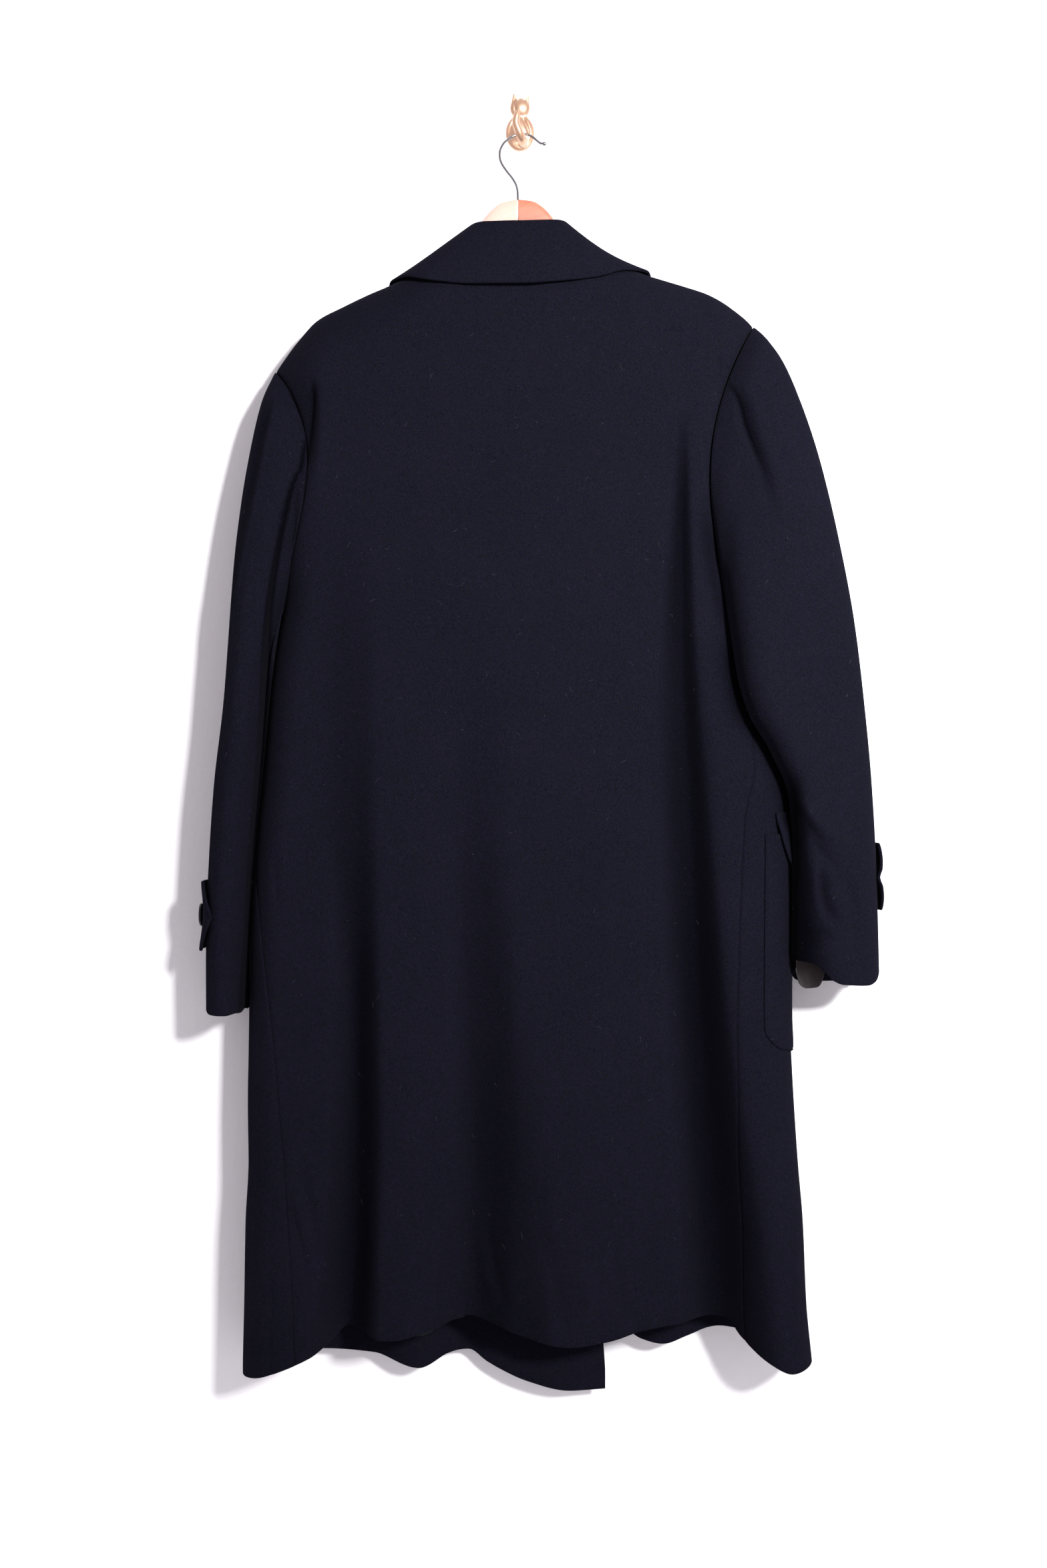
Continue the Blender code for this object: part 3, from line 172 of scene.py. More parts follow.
def shell(name, points, ways, outer, inner, rims, material, slot, closed=False, painted_shade=None):
    # A closed wall of cloth: points + ways * outer, points - ways * inner, and round rims along the border.
    # A rim bulges past the border by its own reach: rims = (top, right, bottom, left).
    rows, columns, _ = points.shape
    outerSide = points + ways * np.broadcast_to(outer, (rows, columns))[..., None]
    innerSide = points - ways * np.broadcast_to(inner, (rows, columns))[..., None]
    count = rows * columns
    vertices = [outerSide.reshape(-1, 3), innerSide.reshape(-1, 3)]
    faces = [gridFaces(rows, columns, 0, closed), gridFaces(rows, columns, count, closed)[:, ::-1]]
    past = np.zeros(points.shape)
    steps = {
        "top": unit(points[0] - points[1]), "bottom": unit(points[-1] - points[-2]),
        "left": unit(points[:, 0] - points[:, 1]), "right": unit(points[:, -1] - points[:, -2]),
    }
    past[0] += steps["top"] * rims[0]
    past[-1] += steps["bottom"] * rims[2]
    index = np.arange(count).reshape(rows, columns)
    if closed:
        borders = [index[0], index[-1][::-1]]
    else:
        past[:, -1] += steps["right"] * rims[1]
        past[:, 0] += steps["left"] * rims[3]
        loop = [index[0, :-1], index[:-1, -1], index[-1, :0:-1], index[:0:-1, 0]]
        borders = [np.concatenate(loop)]
    past = past.reshape(-1, 3)
    for border in borders:
        middle = (vertices[0][border] + vertices[1][border]) / 2
        half = (vertices[0][border] - vertices[1][border]) / 2
        base = sum(len(v) for v in vertices)
        size = len(border)
        rings = [border]
        for k, angle in enumerate(np.radians(rimAngles)):
            vertices.append(middle + half * math.sin(angle) + past[border] * math.cos(angle))
            rings.append(base + k * size + np.arange(size))
        rings.append(count + border)
        for upper, lower in zip(rings, rings[1:]):
            faces.append(np.stack([upper, lower, np.roll(lower, -1), np.roll(upper, -1)], axis=1))
    made = makeObject(name, np.concatenate(vertices), np.concatenate(faces), material, slot)
    # Painted shade at each point, if given, is kept as an attribute on both sides and on the rims.
    if painted_shade is not None:
        painted_shade = painted_shade.reshape(-1)
        spread = [painted_shade] * 2 + [painted_shade[border] for border in borders for _ in rimAngles]
        made.data.attributes.new("painted_shade", "FLOAT", "POINT")
        made.data.attributes["painted_shade"].data.foreach_set("value", np.concatenate(spread).astype(np.float32))
    return made


def tubeMesh(path, radii, sides):
    # A round solid along a path: point + radius * (across * cos(angle) + up * sin(angle)) at each point.
    path = np.asarray(path, float)
    run = unit(np.gradient(path, axis=0))
    across = np.cross(run[0], (0.31, 1.0, 0.17))
    rings = []
    angle = np.linspace(0, math.tau, sides, endpoint=False)[:, None]
    for point, way, radius in zip(path, run, radii):
        across = unit(across - way * np.dot(across, way))
        up = np.cross(way, across)
        rings.append(point + radius * (across * np.cos(angle) + up * np.sin(angle)))
    return closedRings(np.array(rings), path[[0, -1]])


def joined(parts):
    # Several vertex and face arrays as one.
    vertices, faces, base = [], [], 0
    for points, quads in parts:
        vertices.append(points)
        faces.append(quads + base)
        base += len(points)
    return np.concatenate(vertices), np.concatenate(faces)


def smoothRoute(points, perStep):
    # A Catmull-Rom curve: a cubic between two points, with slopes half the way between their neighbours.
    route = np.array(points, float)
    route = np.concatenate([[2 * route[0] - route[1]], route, [2 * route[-1] - route[-2]]])
    t = np.linspace(0, 1, perStep, endpoint=False)[None, :, None]
    p0, p1, p2, p3 = (route[i : len(route) - 3 + i][:, None, :] for i in range(4))
    found = 0.5 * (2 * p1 + (p2 - p0) * t + (2 * p0 - 5 * p1 + 4 * p2 - p3) * t**2
                   + (3 * p1 - p0 - 3 * p2 + p3) * t**3)
    return np.concatenate([found.reshape(-1, route.shape[1]), route[-2:-1]])


class Nodes:
    # Short names for adding and joining shader nodes in one tree.
    def __init__(self, tree):
        self.tree = tree

    def add(self, kind, **values):
        node = self.tree.nodes.new(kind)
        for key, value in values.items():
            setattr(node, key, value)
        return node

    def join(self, source, target):
        self.tree.links.new(source, target)

    def noise(self, scale, detail, roughness, vector, distortion=0.0):
        node = self.add("ShaderNodeTexNoise")
        node.inputs["Scale"].default_value = scale
        node.inputs["Detail"].default_value = detail
        node.inputs["Roughness"].default_value = roughness
        node.inputs["Distortion"].default_value = distortion
        self.join(vector, node.inputs["Vector"])
        return node.outputs["Fac"]

    def ramp(self, value, low, high, lowOut=0.0, highOut=1.0):
        node = self.add("ShaderNodeMapRange")
        node.inputs["From Min"].default_value = low
        node.inputs["From Max"].default_value = high
        node.inputs["To Min"].default_value = lowOut
        node.inputs["To Max"].default_value = highOut
        self.join(value, node.inputs["Value"])
        return node.outputs["Result"]

    def sum(self, operation, first, second):
        node = self.add("ShaderNodeMath", operation=operation)
        for place, item in enumerate((first, second)):
            if isinstance(item, (int, float)):
                node.inputs[place].default_value = item
            else:
                self.join(item, node.inputs[place])
        return node.outputs["Value"]

    def mix(self, share, first, second):
        node = self.add("ShaderNodeMix", data_type="RGBA")
        for name, item in (("Factor", share), ("A", first), ("B", second)):
            places = [s for s in node.inputs if s.name == name and s.enabled]
            if isinstance(item, (int, float, tuple)):
                places[0].default_value = item
            else:
                self.join(item, places[0])
        return [s for s in node.outputs if s.enabled][0]

    def stretched(self, vector, scale):
        node = self.add("ShaderNodeMapping")
        node.inputs["Scale"].default_value = scale
        self.join(vector, node.inputs["Vector"])
        return node.outputs["Vector"]


def newGroup(name, inputs):
    # An effect with the given inputs that puts out a colour, a roughness and a height.
    group = bpy.data.node_groups.new(name, "ShaderNodeTree")
    for label, value in inputs.items():
        kind = "NodeSocketColor" if isinstance(value, tuple) else "NodeSocketFloat"
        made = group.interface.new_socket(name=label, in_out="INPUT", socket_type=kind)
        made.default_value = value
    for label, kind in (("Colour", "Color"), ("Roughness", "Float"), ("Height", "Float")):
        group.interface.new_socket(name=label, in_out="OUTPUT", socket_type="NodeSocket" + kind)
    nodes = Nodes(group)
    return group, nodes, nodes.add("NodeGroupInput"), nodes.add("NodeGroupOutput")


def makeNapGroup():
    # Brushed wool: fine tangled fibres, slow patches of lighter and darker nap, faint twill, specks of lint;
    # a painted shade input darkens it towards near black.
    group, n, given, out = newGroup("nap", {
        "Dark": (0.0031, 0.0035, 0.0068, 1), "Light": (0.0082, 0.0070, 0.0138, 1),
        "Fleck": (0.0052, 0.0056, 0.0078, 1), "Speck": (0.06, 0.06, 0.075, 1), "PaintedShade": 0.0,
    })
    place = n.add("ShaderNodeTexCoord").outputs["Object"]
    fibres = n.noise(1150, 3, 0.7, n.stretched(place, (1.0, 1.0, 0.65)), 0.6)
    tufts = n.noise(760, 1, 0.5, n.stretched(place, (1.0, 1.0, 0.8)), 0.3)
    patches = n.noise(9, 3, 0.55, place)
    wear = n.noise(38, 3, 0.6, n.stretched(place, (1.0, 1.0, 0.5)))
    wave = n.add("ShaderNodeTexWave", wave_type="BANDS", bands_direction="DIAGONAL")
    wave.inputs["Scale"].default_value = 210
    wave.inputs["Distortion"].default_value = 5.0
    wave.inputs["Detail"].default_value = 2.0
    n.join(place, wave.inputs["Vector"])
    fine = n.sum("ADD", n.sum("MULTIPLY", fibres, 0.54), n.sum("MULTIPLY", tufts, 0.40))
    fine = n.sum("ADD", fine, n.sum("MULTIPLY", wave.outputs["Fac"], 0.06))
    slow = n.sum("ADD", n.ramp(patches, 0.3, 0.7, -0.10, 0.10), n.ramp(wear, 0.3, 0.7, -0.07, 0.07))
    share = n.sum("ADD", n.ramp(fine, 0.41, 0.59, 0.0, 1.0), slow)
    cloth = n.mix(n.ramp(share, 0.0, 1.0), given.outputs["Dark"], given.outputs["Light"])
    dyed = n.ramp(n.noise(610, 1, 0.5, n.stretched(place, (1.0, 1.0, 0.7))), 0.44, 0.62, 0.0, 0.8)
    cloth = n.mix(dyed, cloth, given.outputs["Fleck"])
    # Painted shade: the cloth is mixed towards near black in folds and beside the sleeves.
    cloth = n.mix(given.outputs["PaintedShade"], cloth, (0.0006, 0.0006, 0.0010, 1))
    speck = n.ramp(n.noise(620, 1, 0.5, place), 0.775, 0.80)
    here = n.ramp(n.noise(14, 2, 0.5, place), 0.5, 0.6)
    both = n.sum("MULTIPLY", n.sum("MULTIPLY", speck, here), 0.6)
    n.join(n.mix(both, cloth, given.outputs["Speck"]), out.inputs["Colour"])
    n.join(n.ramp(fine, 0.3, 0.7, 0.88, 1.0), out.inputs["Roughness"])
    height = n.sum("ADD", fine, n.sum("MULTIPLY", wear, 0.25))
    n.join(height, out.inputs["Height"])
    return group


def makeGrainGroup():
    # Planed wood: long streaks along x, fine pores and a slow change of tone.
    inputs = {"Pale": (0.9, 0.7, 0.5, 1), "Streak": (0.7, 0.4, 0.25, 1), "Strength": 0.5}
    group, n, given, out = newGroup("grain", inputs)
    place = n.add("ShaderNodeTexCoord").outputs["Object"]
    slanted = n.add("ShaderNodeMapping")
    slanted.inputs["Rotation"].default_value = (0, 0.35, 0)
    n.join(place, slanted.inputs["Vector"])
    streaks = n.noise(240, 4, 0.6, n.stretched(slanted.outputs["Vector"], (0.09, 1.0, 1.0)), 0.4)
    broad = n.noise(60, 2, 0.5, n.stretched(slanted.outputs["Vector"], (0.2, 1.0, 1.0)))
    pores = n.noise(1500, 2, 0.5, n.stretched(slanted.outputs["Vector"], (0.12, 1.0, 1.0)))
    tone = n.sum("ADD", n.ramp(streaks, 0.36, 0.66), n.ramp(broad, 0.35, 0.65, -0.3, 0.3))
    tone = n.sum("MULTIPLY", tone, given.outputs["Strength"])
    colour = n.mix(n.ramp(tone, 0.0, 1.0), given.outputs["Pale"], given.outputs["Streak"])
    n.join(colour, out.inputs["Colour"])
    n.join(n.ramp(streaks, 0.3, 0.7, 0.32, 0.48), out.inputs["Roughness"])
    n.join(n.sum("ADD", streaks, n.sum("MULTIPLY", pores, 0.5)), out.inputs["Height"])
    return group


def makeSatinGroup():
    # Smooth metal or plastic with faint handling marks.
    inputs = {"Base": (0.5, 0.5, 0.5, 1), "Tarnish": (0.3, 0.3, 0.3, 1), "Gloss": 0.3}
    group, n, given, out = newGroup("satin", inputs)
    place = n.add("ShaderNodeTexCoord").outputs["Object"]
    cloud = n.noise(110, 3, 0.55, place)
    grit = n.noise(1400, 2, 0.6, place)
    colour = n.mix(n.ramp(cloud, 0.42, 0.75, 0.0, 0.7), given.outputs["Base"], given.outputs["Tarnish"])
    n.join(colour, out.inputs["Colour"])
    marks = n.ramp(cloud, 0.3, 0.7, -0.05, 0.08)
    n.join(n.sum("ADD", given.outputs["Gloss"], marks), out.inputs["Roughness"])
    n.join(grit, out.inputs["Height"])
    return group


def finished(name, group, values, shaderValues, bump, attribute=None):
    # A Principled finish fed by a group's colour, roughness and height.
    material = bpy.data.materials.new(name)
    material.use_nodes = True
    n = Nodes(material.node_tree)
    shader = material.node_tree.nodes["Principled BSDF"]
    used = n.add("ShaderNodeGroup", node_tree=group)
    for key, value in values.items():
        used.inputs[key].default_value = value
    n.join(used.outputs["Colour"], shader.inputs["Base Color"])
    n.join(used.outputs["Roughness"], shader.inputs["Roughness"])
    # An attribute, if named, carries painted shade into the group.
    if attribute:
        n.join(n.add("ShaderNodeAttribute", attribute_name=attribute).outputs["Fac"], used.inputs["PaintedShade"])
    relief = n.add("ShaderNodeBump")
    relief.inputs["Strength"].default_value = bump[0]
    relief.inputs["Distance"].default_value = bump[1] * mm
    n.join(used.outputs["Height"], relief.inputs["Height"])
    n.join(relief.outputs["Normal"], shader.inputs["Normal"])
    for key, value in shaderValues.items():
        shader.inputs[key].default_value = value
    return material


napGroup = makeNapGroup()
grainGroup = makeGrainGroup()
satinGroup = makeSatinGroup()
woolSheen = {"Sheen Weight": 0.012, "Sheen Roughness": 0.45, "Sheen Tint": (0.8, 0.8, 1.0, 1),
             "Specular IOR Level": 0.0}
# The wool reads painted shade from each mesh's attribute.
wool = finished("navy wool", napGroup, {}, woolSheen, (0.55, 0.5), "painted_shade")
darkSatin = finished(
    "dark lining satin", satinGroup,
    {"Base": (0.0022, 0.0050, 0.0050, 1), "Tarnish": (0.0040, 0.0070, 0.0075, 1), "Gloss": 0.42},
    {"Specular IOR Level": 0.12}, (0.2, 0.1),
)
cuffSatin = finished(
    "brown sleeve lining satin", satinGroup,
    {"Base": (0.021, 0.0135, 0.014, 1), "Tarnish": (0.017, 0.0105, 0.011, 1), "Gloss": 0.45},
    {"Specular IOR Level": 0.12}, (0.2, 0.1),
)
buttonHorn = finished(
    "dark button", satinGroup,
    {"Base": (0.006, 0.006, 0.009, 1), "Tarnish": (0.012, 0.0115, 0.015, 1), "Gloss": 0.36},
    {"Specular IOR Level": 0.3}, (0.15, 0.1),
)
paleBeech = finished(
    "pale beech", grainGroup,
    {"Pale": (0.58, 0.400, 0.345, 1), "Streak": (0.56, 0.33, 0.235, 1), "Strength": 0.4},
    {"Coat Weight": 0.12, "Coat Roughness": 0.25}, (0.2, 0.1),
)
redBeech = finished(
    "reddish beech", grainGroup,
    {"Pale": (0.465, 0.168, 0.10, 1), "Streak": (0.39, 0.115, 0.064, 1), "Strength": 0.7},
    {"Coat Weight": 0.12, "Coat Roughness": 0.25}, (0.25, 0.1),
)
chrome = finished(
    "bright steel", satinGroup,
    {"Base": (0.30, 0.305, 0.32, 1), "Tarnish": (0.22, 0.225, 0.24, 1), "Gloss": 0.12}, {"Metallic": 1.0},
    (0.1, 0.05),
)
roseGold = finished(
    "satin copper", satinGroup,
    {"Base": (0.55, 0.345, 0.235, 1), "Tarnish": (0.42, 0.235, 0.145, 1), "Gloss": 0.33}, {"Metallic": 0.75},
    (0.2, 0.08),
)
lintFibre = finished(
    "pale lint", satinGroup,
    {"Base": (0.05, 0.05, 0.06, 1), "Tarnish": (0.10, 0.10, 0.12, 1), "Gloss": 0.8},
    {"Specular IOR Level": 0.1}, (0.05, 0.05),
)
print("materials ready")


ridgeY = -44.0
neckBackY = -82.0
backRounding = 45.0
frontRounding = 30.0
sideRounding = 32.0
wrapUnit = 100.0
underarmY = -62.0
armholeBack = 36.0
armholeFront = 30.0
hemLevel = 1250.0
neckLeft = (-72.0, 145.0)
neckRight = (67.0, 141.2)
neckDip = 165.0
underarmAtFront = 485.0

ridges = {
    "left": Table(
        "x drop",
        (-250, 266), (-242, 255), (-226, 234), (-207, 213.6), (-182, 200.3),
        (-153, 186.4), (-131, 177.0), (-99.6, 159.8), (-72, 145.0),
    ),
    "right": Table(
        "x drop",
        (67, 141.2), (94.4, 153.5), (127.4, 167.0), (147, 173.0), (168, 179.3),
        (188.4, 186), (202, 192.6), (221, 205.5), (230, 212.5), (237.5, 219.5),
    ),
}
armholes = {
    "left": {"shoulder": (-250.0, 266.0), "underarm": (-238.0, 500.0), "inward": 29.0, "skew": 0.6},
    "right": {"shoulder": (237.5, 219.5), "underarm": (205.0, 470.0), "inward": 29.5, "skew": 0.0},
}
sides = Table(
    "drop left right",
    (470, 237, 205), (500, 238, 212.5), (545, 245.5, 221.5), (575, 250, 227), (608, 253.5, 235),
    (648, 257, 255), (690, 261, 270), (738, 266, 273), (840, 272.7, 272), (915, 274, 271.5),
    (960, 274.6, 273.5),
    (1008, 275.3, 276), (1069, 274.5, 280), (1130, 277.4, 285), (1211, 278.7, 288.4), (1270, 280, 294),
)
depths = Table(
    "drop back middle front",
    (140, -84, -54, -23), (230, -88, -56, -22), (300, -92, -58, -22), (400, -96, -60, -22),
    (500, -100, -62, -23), (840, -108, -65, -25), (1008, -112, -67, -27), (1270, -117, -70, -31),
)
# Side seams, counted round the side: 0 where the back turns, 0.5 on the edge, below 0 on the back.
sideSeams = Table(
    "drop left right",
    (470, 0.5, 0.5), (600, 0.5, 0.3), (660, 0.5, 0.05), (726, 0.46, -0.17), (819, 0.238, -0.212),
    (908, 0.09, -0.233), (994, -0.011, -0.265), (1079, -0.084, -0.302), (1143, -0.157, -0.312),
    (1228, -0.217, -0.331), (1266, -0.244, -0.34),
)
frontEdges = Table(
    "drop left right",
    (141, -72, 67), (200, -58, 64), (320, -20, 58), (520, 38, 52), (700, 48, 66),
    (900, 60, 84), (1100, 74, 102), (1290, 86, 117),
)
backHem = Table(
    "x drop",
    (-281, 1283), (-262, 1279), (-228, 1266), (-195, 1250), (-172, 1234), (-135, 1240), (-87, 1230),
    (-53, 1220), (-28, 1226), (18, 1242), (48, 1246), (85, 1241), (130, 1229), (181, 1223),
    (208, 1226), (222, 1243), (246, 1264), (271, 1275), (295, 1270),
)
frontHems = {
    "left": Table(
        "x drop",
        (-281, 1283), (-200, 1268), (-150, 1272), (-104, 1285), (-76, 1273), (-54, 1270),
        (-35, 1282), (5, 1300), (50, 1310), (88, 1309),
    ),
    "right": Table(
        "x drop",
        (112, 1250), (124, 1257), (145, 1261), (170, 1254), (205, 1246), (240, 1252), (295, 1270),
    ),
}
backFolds = (
    troughLine(
        (318, 163, 0, 8, 7), (345, 163, 2.5, 10, 8), (370, 163, 5, 13, 9), (430, 162, 9, 19, 11),
        (560, 162, 15, 26, 16), (704, 168, 20, 33, 22), (804, 173, 24, 36, 26), (904, 178, 28, 38, 30),
        (1005, 184, 31, 40, 38), (1105, 193, 36, 42, 48), (1212, 199, 41, 46, 56), (1260, 201, 42, 48, 58),
    ),
    troughLine(
        (430, -172, 0, 34, 30), (504, -171, 1.5, 32, 28), (604, -170, 2.5, 30, 26), (704, -168, 5, 30, 25),
        (804, -166, 11, 30, 25), (904, -165, 19, 30, 26), (1040, -164, 28, 30, 28), (1150, -167, 37, 32, 28),
        (1250, -175, 45, 36, 34),
    ),
    troughLine(
        (560, -45, 0, 34, 34), (704, -44, 3, 36, 38), (804, -43, 6, 36, 40), (904, -43, 9, 34, 40),
        (1005, -44, 12, 34, 44), (1150, -47, 18, 36, 46), (1250, -54, 25, 40, 48),
    ),
    troughLine((1060, 8, 0, 20, 24), (1150, 8, 3, 22, 26), (1250, 6, 7, 26, 28)),
    troughLine((900, -115, 0, 44, 44), (1250, -118, -9, 46, 46)),
    troughLine((760, 52, 0, 90, 90), (1250, 58, -9, 84, 84)),
    troughLine((1000, -226, 0, 30, 30), (1250, -224, -5, 34, 34)),
)
# Bands of painted shade down the back's troughs: (drop, x, left width, right width, amount).
backShades = (
    paintedShadeBand(
        (312, 163.5, 6, 5, 0), (345, 163.5, 7, 5, 0.35), (403, 162.5, 9, 7, 0.6), (470, 162, 14, 9, 0.6),
        (504, 161, 16, 11, 0.55), (604, 168, 24, 16, 0.52), (704, 171.5, 27, 22, 0.55),
        (804, 178, 27, 22, 0.62),
        (904, 183.5, 27, 26, 0.66), (1005, 190, 26, 32, 0.66), (1105, 199.5, 26, 36, 0.64),
        (1250, 208, 21, 40, 0.6),
    ),
    paintedShadeBand(
        (400, -177, 24, 24, 0), (504, -175, 24, 24, 0.15), (604, -169, 25, 22, 0.2),
        (704, -170, 25, 22, 0.28),
        (804, -162, 20, 17, 0.42), (904, -158, 15, 15, 0.62), (1005, -157.5, 15, 15, 0.66),
        (1105, -159, 17, 16, 0.6), (1250, -161, 19, 14, 0.55),
    ),
    paintedShadeBand(
        (560, -42, 24, 24, 0), (704, -44, 24, 22, 0.15), (804, -42, 22, 24, 0.28), (904, -38, 22, 32, 0.34),
        (1005, -34, 24, 44, 0.4), (1105, -24, 30, 42, 0.42), (1212, -22, 34, 46, 0.42),
    ),
)
# Painted shade beside the sleeves: lines of (amount, width, start taper, end taper, points as x and drop).
bodyShades = (
    (0.72, 2.6, 0.25, 0.2, ((-210, 270), (-207.5, 285), (-206.2, 300), (-207, 316), (-208.5, 332),
                            (-211.5, 352), (-213.5, 372))),
    (0.4, 6.0, 0.3, 0.3, ((-213, 275), (-211, 300), (-212, 325), (-214, 350))),
    (0.5, 2.5, 0.2, 0.4, ((-213.5, 372), (-217, 393), (-221, 413), (-226, 433), (-230, 453), (-234, 474),
                          (-238, 500), (-243, 530))),
    (0.25, 2.2, 0.3, 0.3, ((197, 258), (202, 264), (207, 270))),
    (0.72, 13.0, 0.15, 0.1, ((206, 520), (211, 560), (217, 590), (223, 614), (247.6, 644), (268, 687),
                             (274, 744), (276, 800), (278, 868))),
    (0.35, 7.0, 0.3, 0.2, ((183, 395), (184.5, 420), (190, 460), (197, 500), (205, 540))),
)
frontFolds = {
    "left": (
        troughLine((800, -100, 0, 46, 46), (1290, -108, -15, 44, 44)),
        troughLine((700, -58, 0, 34, 34), (1290, -55, 7, 36, 36)),
        troughLine((700, 20, 0, 70, 70), (1290, 30, -9, 76, 76)),
    ),
    "right": (
        troughLine((760, 150, 0, 40, 40), (1270, 148, -11, 44, 44)),
        troughLine((800, 205, 0, 40, 40), (1270, 206, 6, 42, 42)),
    ),
}
cloth = {
    "wall": 2.3, "turnUp": 38.0, "turnUpWall": 1.1, "seamDip": 0.85, "seamWidth": 1.7,
    "armRows": 78, "skirtRows": 114, "backColumns": 212, "roundColumns": 40,
    "flatColumns": {"left": 86, "right": 66},
}
halfCloth = cloth["wall"] / 2


def rounding(share):
    # A quarter circle: 1 at an edge and 0 where the flat begins.
    return 1 - np.sqrt(np.clip(1 - (1 - np.clip(share, 0, 1)) ** 2, 0, 1))


def folds(tables, x, drop):
    # Sum of every trough's depth * (1 - (distance / half width)^2)^2, with its own half width to each side.
    moved = np.zeros(np.broadcast(x, drop).shape)
    for table in tables:
        apart = x - table.read("x", drop)
        apart = apart / np.where(apart < 0, table.read("left", drop), table.read("right", drop))
        moved += table.read("depth", drop) * np.clip(1 - apart**2, 0, 1) ** 2
    return moved


def bodyShade(points):
    # Painted shade: the more of the dark bands and of the lines beside the sleeves, on the viewer's side.
    x, drop = points[..., 0], -points[..., 2]
    shade = np.maximum(bands(backShades, x, drop, 3), creases(bodyShades, x, drop))
    return np.clip(shade, 0, 0.85) * softStep(-points[..., 1], 30, 60)


def bands(tables, x, drop, power):
    # Painted shade: the most of every band's amount * exp(-(distance / width)^power), with its own width to
    # each side.
    most = np.zeros(np.broadcast(x, drop).shape)
    for table in tables:
        apart = x - table.read("x", drop)
        apart = apart / np.where(apart < 0, table.read("left", drop), table.read("right", drop))
        most = np.maximum(most, table.read("amount", drop) * np.exp(-np.abs(apart) ** power))
    return most


def creases(lines, x, drop):
    # Small creases: depth * taper * exp(-(distance to a line / width)^2), summed over the lines.
    # A line is (depth, width, start taper, end taper, points); a minus depth is a ridge towards the viewer.
    # Lines of painted shade use the same sum, with the amount of darkening in place of the depth.
    moved = np.zeros(np.broadcast(x, drop).shape)
    for depth, width, startTaper, endTaper, points in lines:
        route = smoothRoute(points, 4)
        steps = np.linalg.norm(np.diff(route, axis=0), axis=1)
        along = np.concatenate([[0], np.cumsum(steps)]) / steps.sum()
        near = np.full(moved.shape, 1e9)
        share = np.zeros(moved.shape)
        for (x0, d0), (x1, d1), s0, s1 in zip(route, route[1:], along, along[1:]):
            dx, dd = x1 - x0, d1 - d0
            t = np.clip(((x - x0) * dx + (drop - d0) * dd) / (dx * dx + dd * dd), 0, 1)
            apart = np.hypot(x - x0 - t * dx, drop - d0 - t * dd)
            closer = apart < near
            near = np.where(closer, apart, near)
            share = np.where(closer, s0 + (s1 - s0) * t, share)
        taper = softStep(share, 0, startTaper) * (1 - softStep(share, 1 - endTaper, 1.0))
        moved += depth * taper * np.exp(-((near / width) ** 2))
    return moved


def armholePoint(side, share):
    # From the shoulder to the underarm: a straight line bowed inwards, and in depth a lens round its middle.
    hole = armholes[side]
    x0, drop0 = hole["shoulder"]
    x1, drop1 = hole["underarm"]
    bow = 4 * share * (1 - share)
    x = x0 + (x1 - x0) * share - sideSign(side) * hole["inward"] * bow * (1 + hole["skew"] * (1 - 2 * share))
    middle = ridgeY + (underarmY - ridgeY) * share
    lens = bow ** (0.5 + 0.6 * share**3)
    return x, drop0 + (drop1 - drop0) * share, middle - armholeBack * lens, middle + armholeFront * lens


def roundSide(side, wrap, drop):
    # A place counted round the side: half a turn between 0 and 1, straight on along the back and the front.
    edge = sides.read(side, drop)
    back, middle, front = (depths.read(name, drop) for name in ("back", "middle", "front"))
    turn = math.pi * np.clip(wrap, 0, 1)
    out = edge - sideRounding + sideRounding * np.sin(turn)
    out = out + wrapUnit * np.minimum(wrap, 0) - wrapUnit * np.maximum(wrap - 1, 0)
    depth = middle + np.where(turn < math.pi / 2, back - middle, middle - front) * np.cos(turn)
    x = sideSign(side) * out
    depth = depth + np.where(wrap < 0, folds(backFolds, x, drop), 0.0)
    depth = depth + np.where(wrap > 1, folds(frontFolds[side], x, drop), 0.0)
    return x, depth


def frontSpan(side, drop):
    # How far a front runs on past the round side to its free edge, in the units of its places.
    return (sides.read(side, drop) - sideRounding - sideSign(side) * frontEdges.read(side, drop)) / wrapUnit


armShares = (1 - np.cos(math.pi * np.linspace(0, 1, cloth["armRows"] + 1))) / 2
skirtShares = np.linspace(0, 1, cloth["skirtRows"] + 1)[1:]
skirtShares = skirtShares + 0.03 * np.sin(math.pi * skirtShares) * skirtShares


def levelGrid(top, underarm, hem):
    # Drops of a panel's rows: from the top edge to the underarm's level, then on to the hem.
    upper = top[None, :] + (underarm - top)[None, :] * armShares[:, None]
    lower = underarm[None, :] + (hem - underarm)[None, :] * skirtShares[:, None]
    return np.concatenate([upper, lower])


def edgeDip(points, edge):
    # How far the cloth sinks beside a sewn edge: dip * exp(-distance along the cloth / width).
    grid = np.moveaxis(points, 1, 0) if edge in ("left", "right") else points
    grid = grid[::-1] if edge in ("right", "bottom") else grid
    apart = np.zeros(grid.shape[:2])
    apart[1:] = np.cumsum(np.linalg.norm(np.diff(grid, axis=0), axis=-1), axis=0)
    dip = cloth["seamDip"] * np.exp(-apart / cloth["seamWidth"])
    dip = dip[::-1] if edge in ("right", "bottom") else dip
    return dip.T if edge in ("left", "right") else dip


def seamWays(points, ways, seams):
    # Mitred ways along the shoulder seam and the side seams, so that two panels meet with one rim each.
    first = len(armShares)
    for side, column in seams:
        wrap = sideSeams.read(side, -points[first:, column, 2])
        turn = math.pi * np.clip(wrap, 0, 1)
        way = np.stack([sideSign(side) * np.sin(turn), -np.cos(turn), 0 * turn], axis=1)
        if np.sum(way * ways[first:, column]) < 0:
            ways = -ways
        blend = softStep(np.arange(len(way)) / 12.0, 0, 1)[:, None] * 0.6
        ways[first:, column] = unit(way * blend + ways[first:, column] * (1 - blend))
    crest = np.cross(np.gradient(points[0], axis=0), (0.0, 1.0, 0.0))
    ways[0] = unit(crest * np.sign(crest[:, 2:]))
    return ways


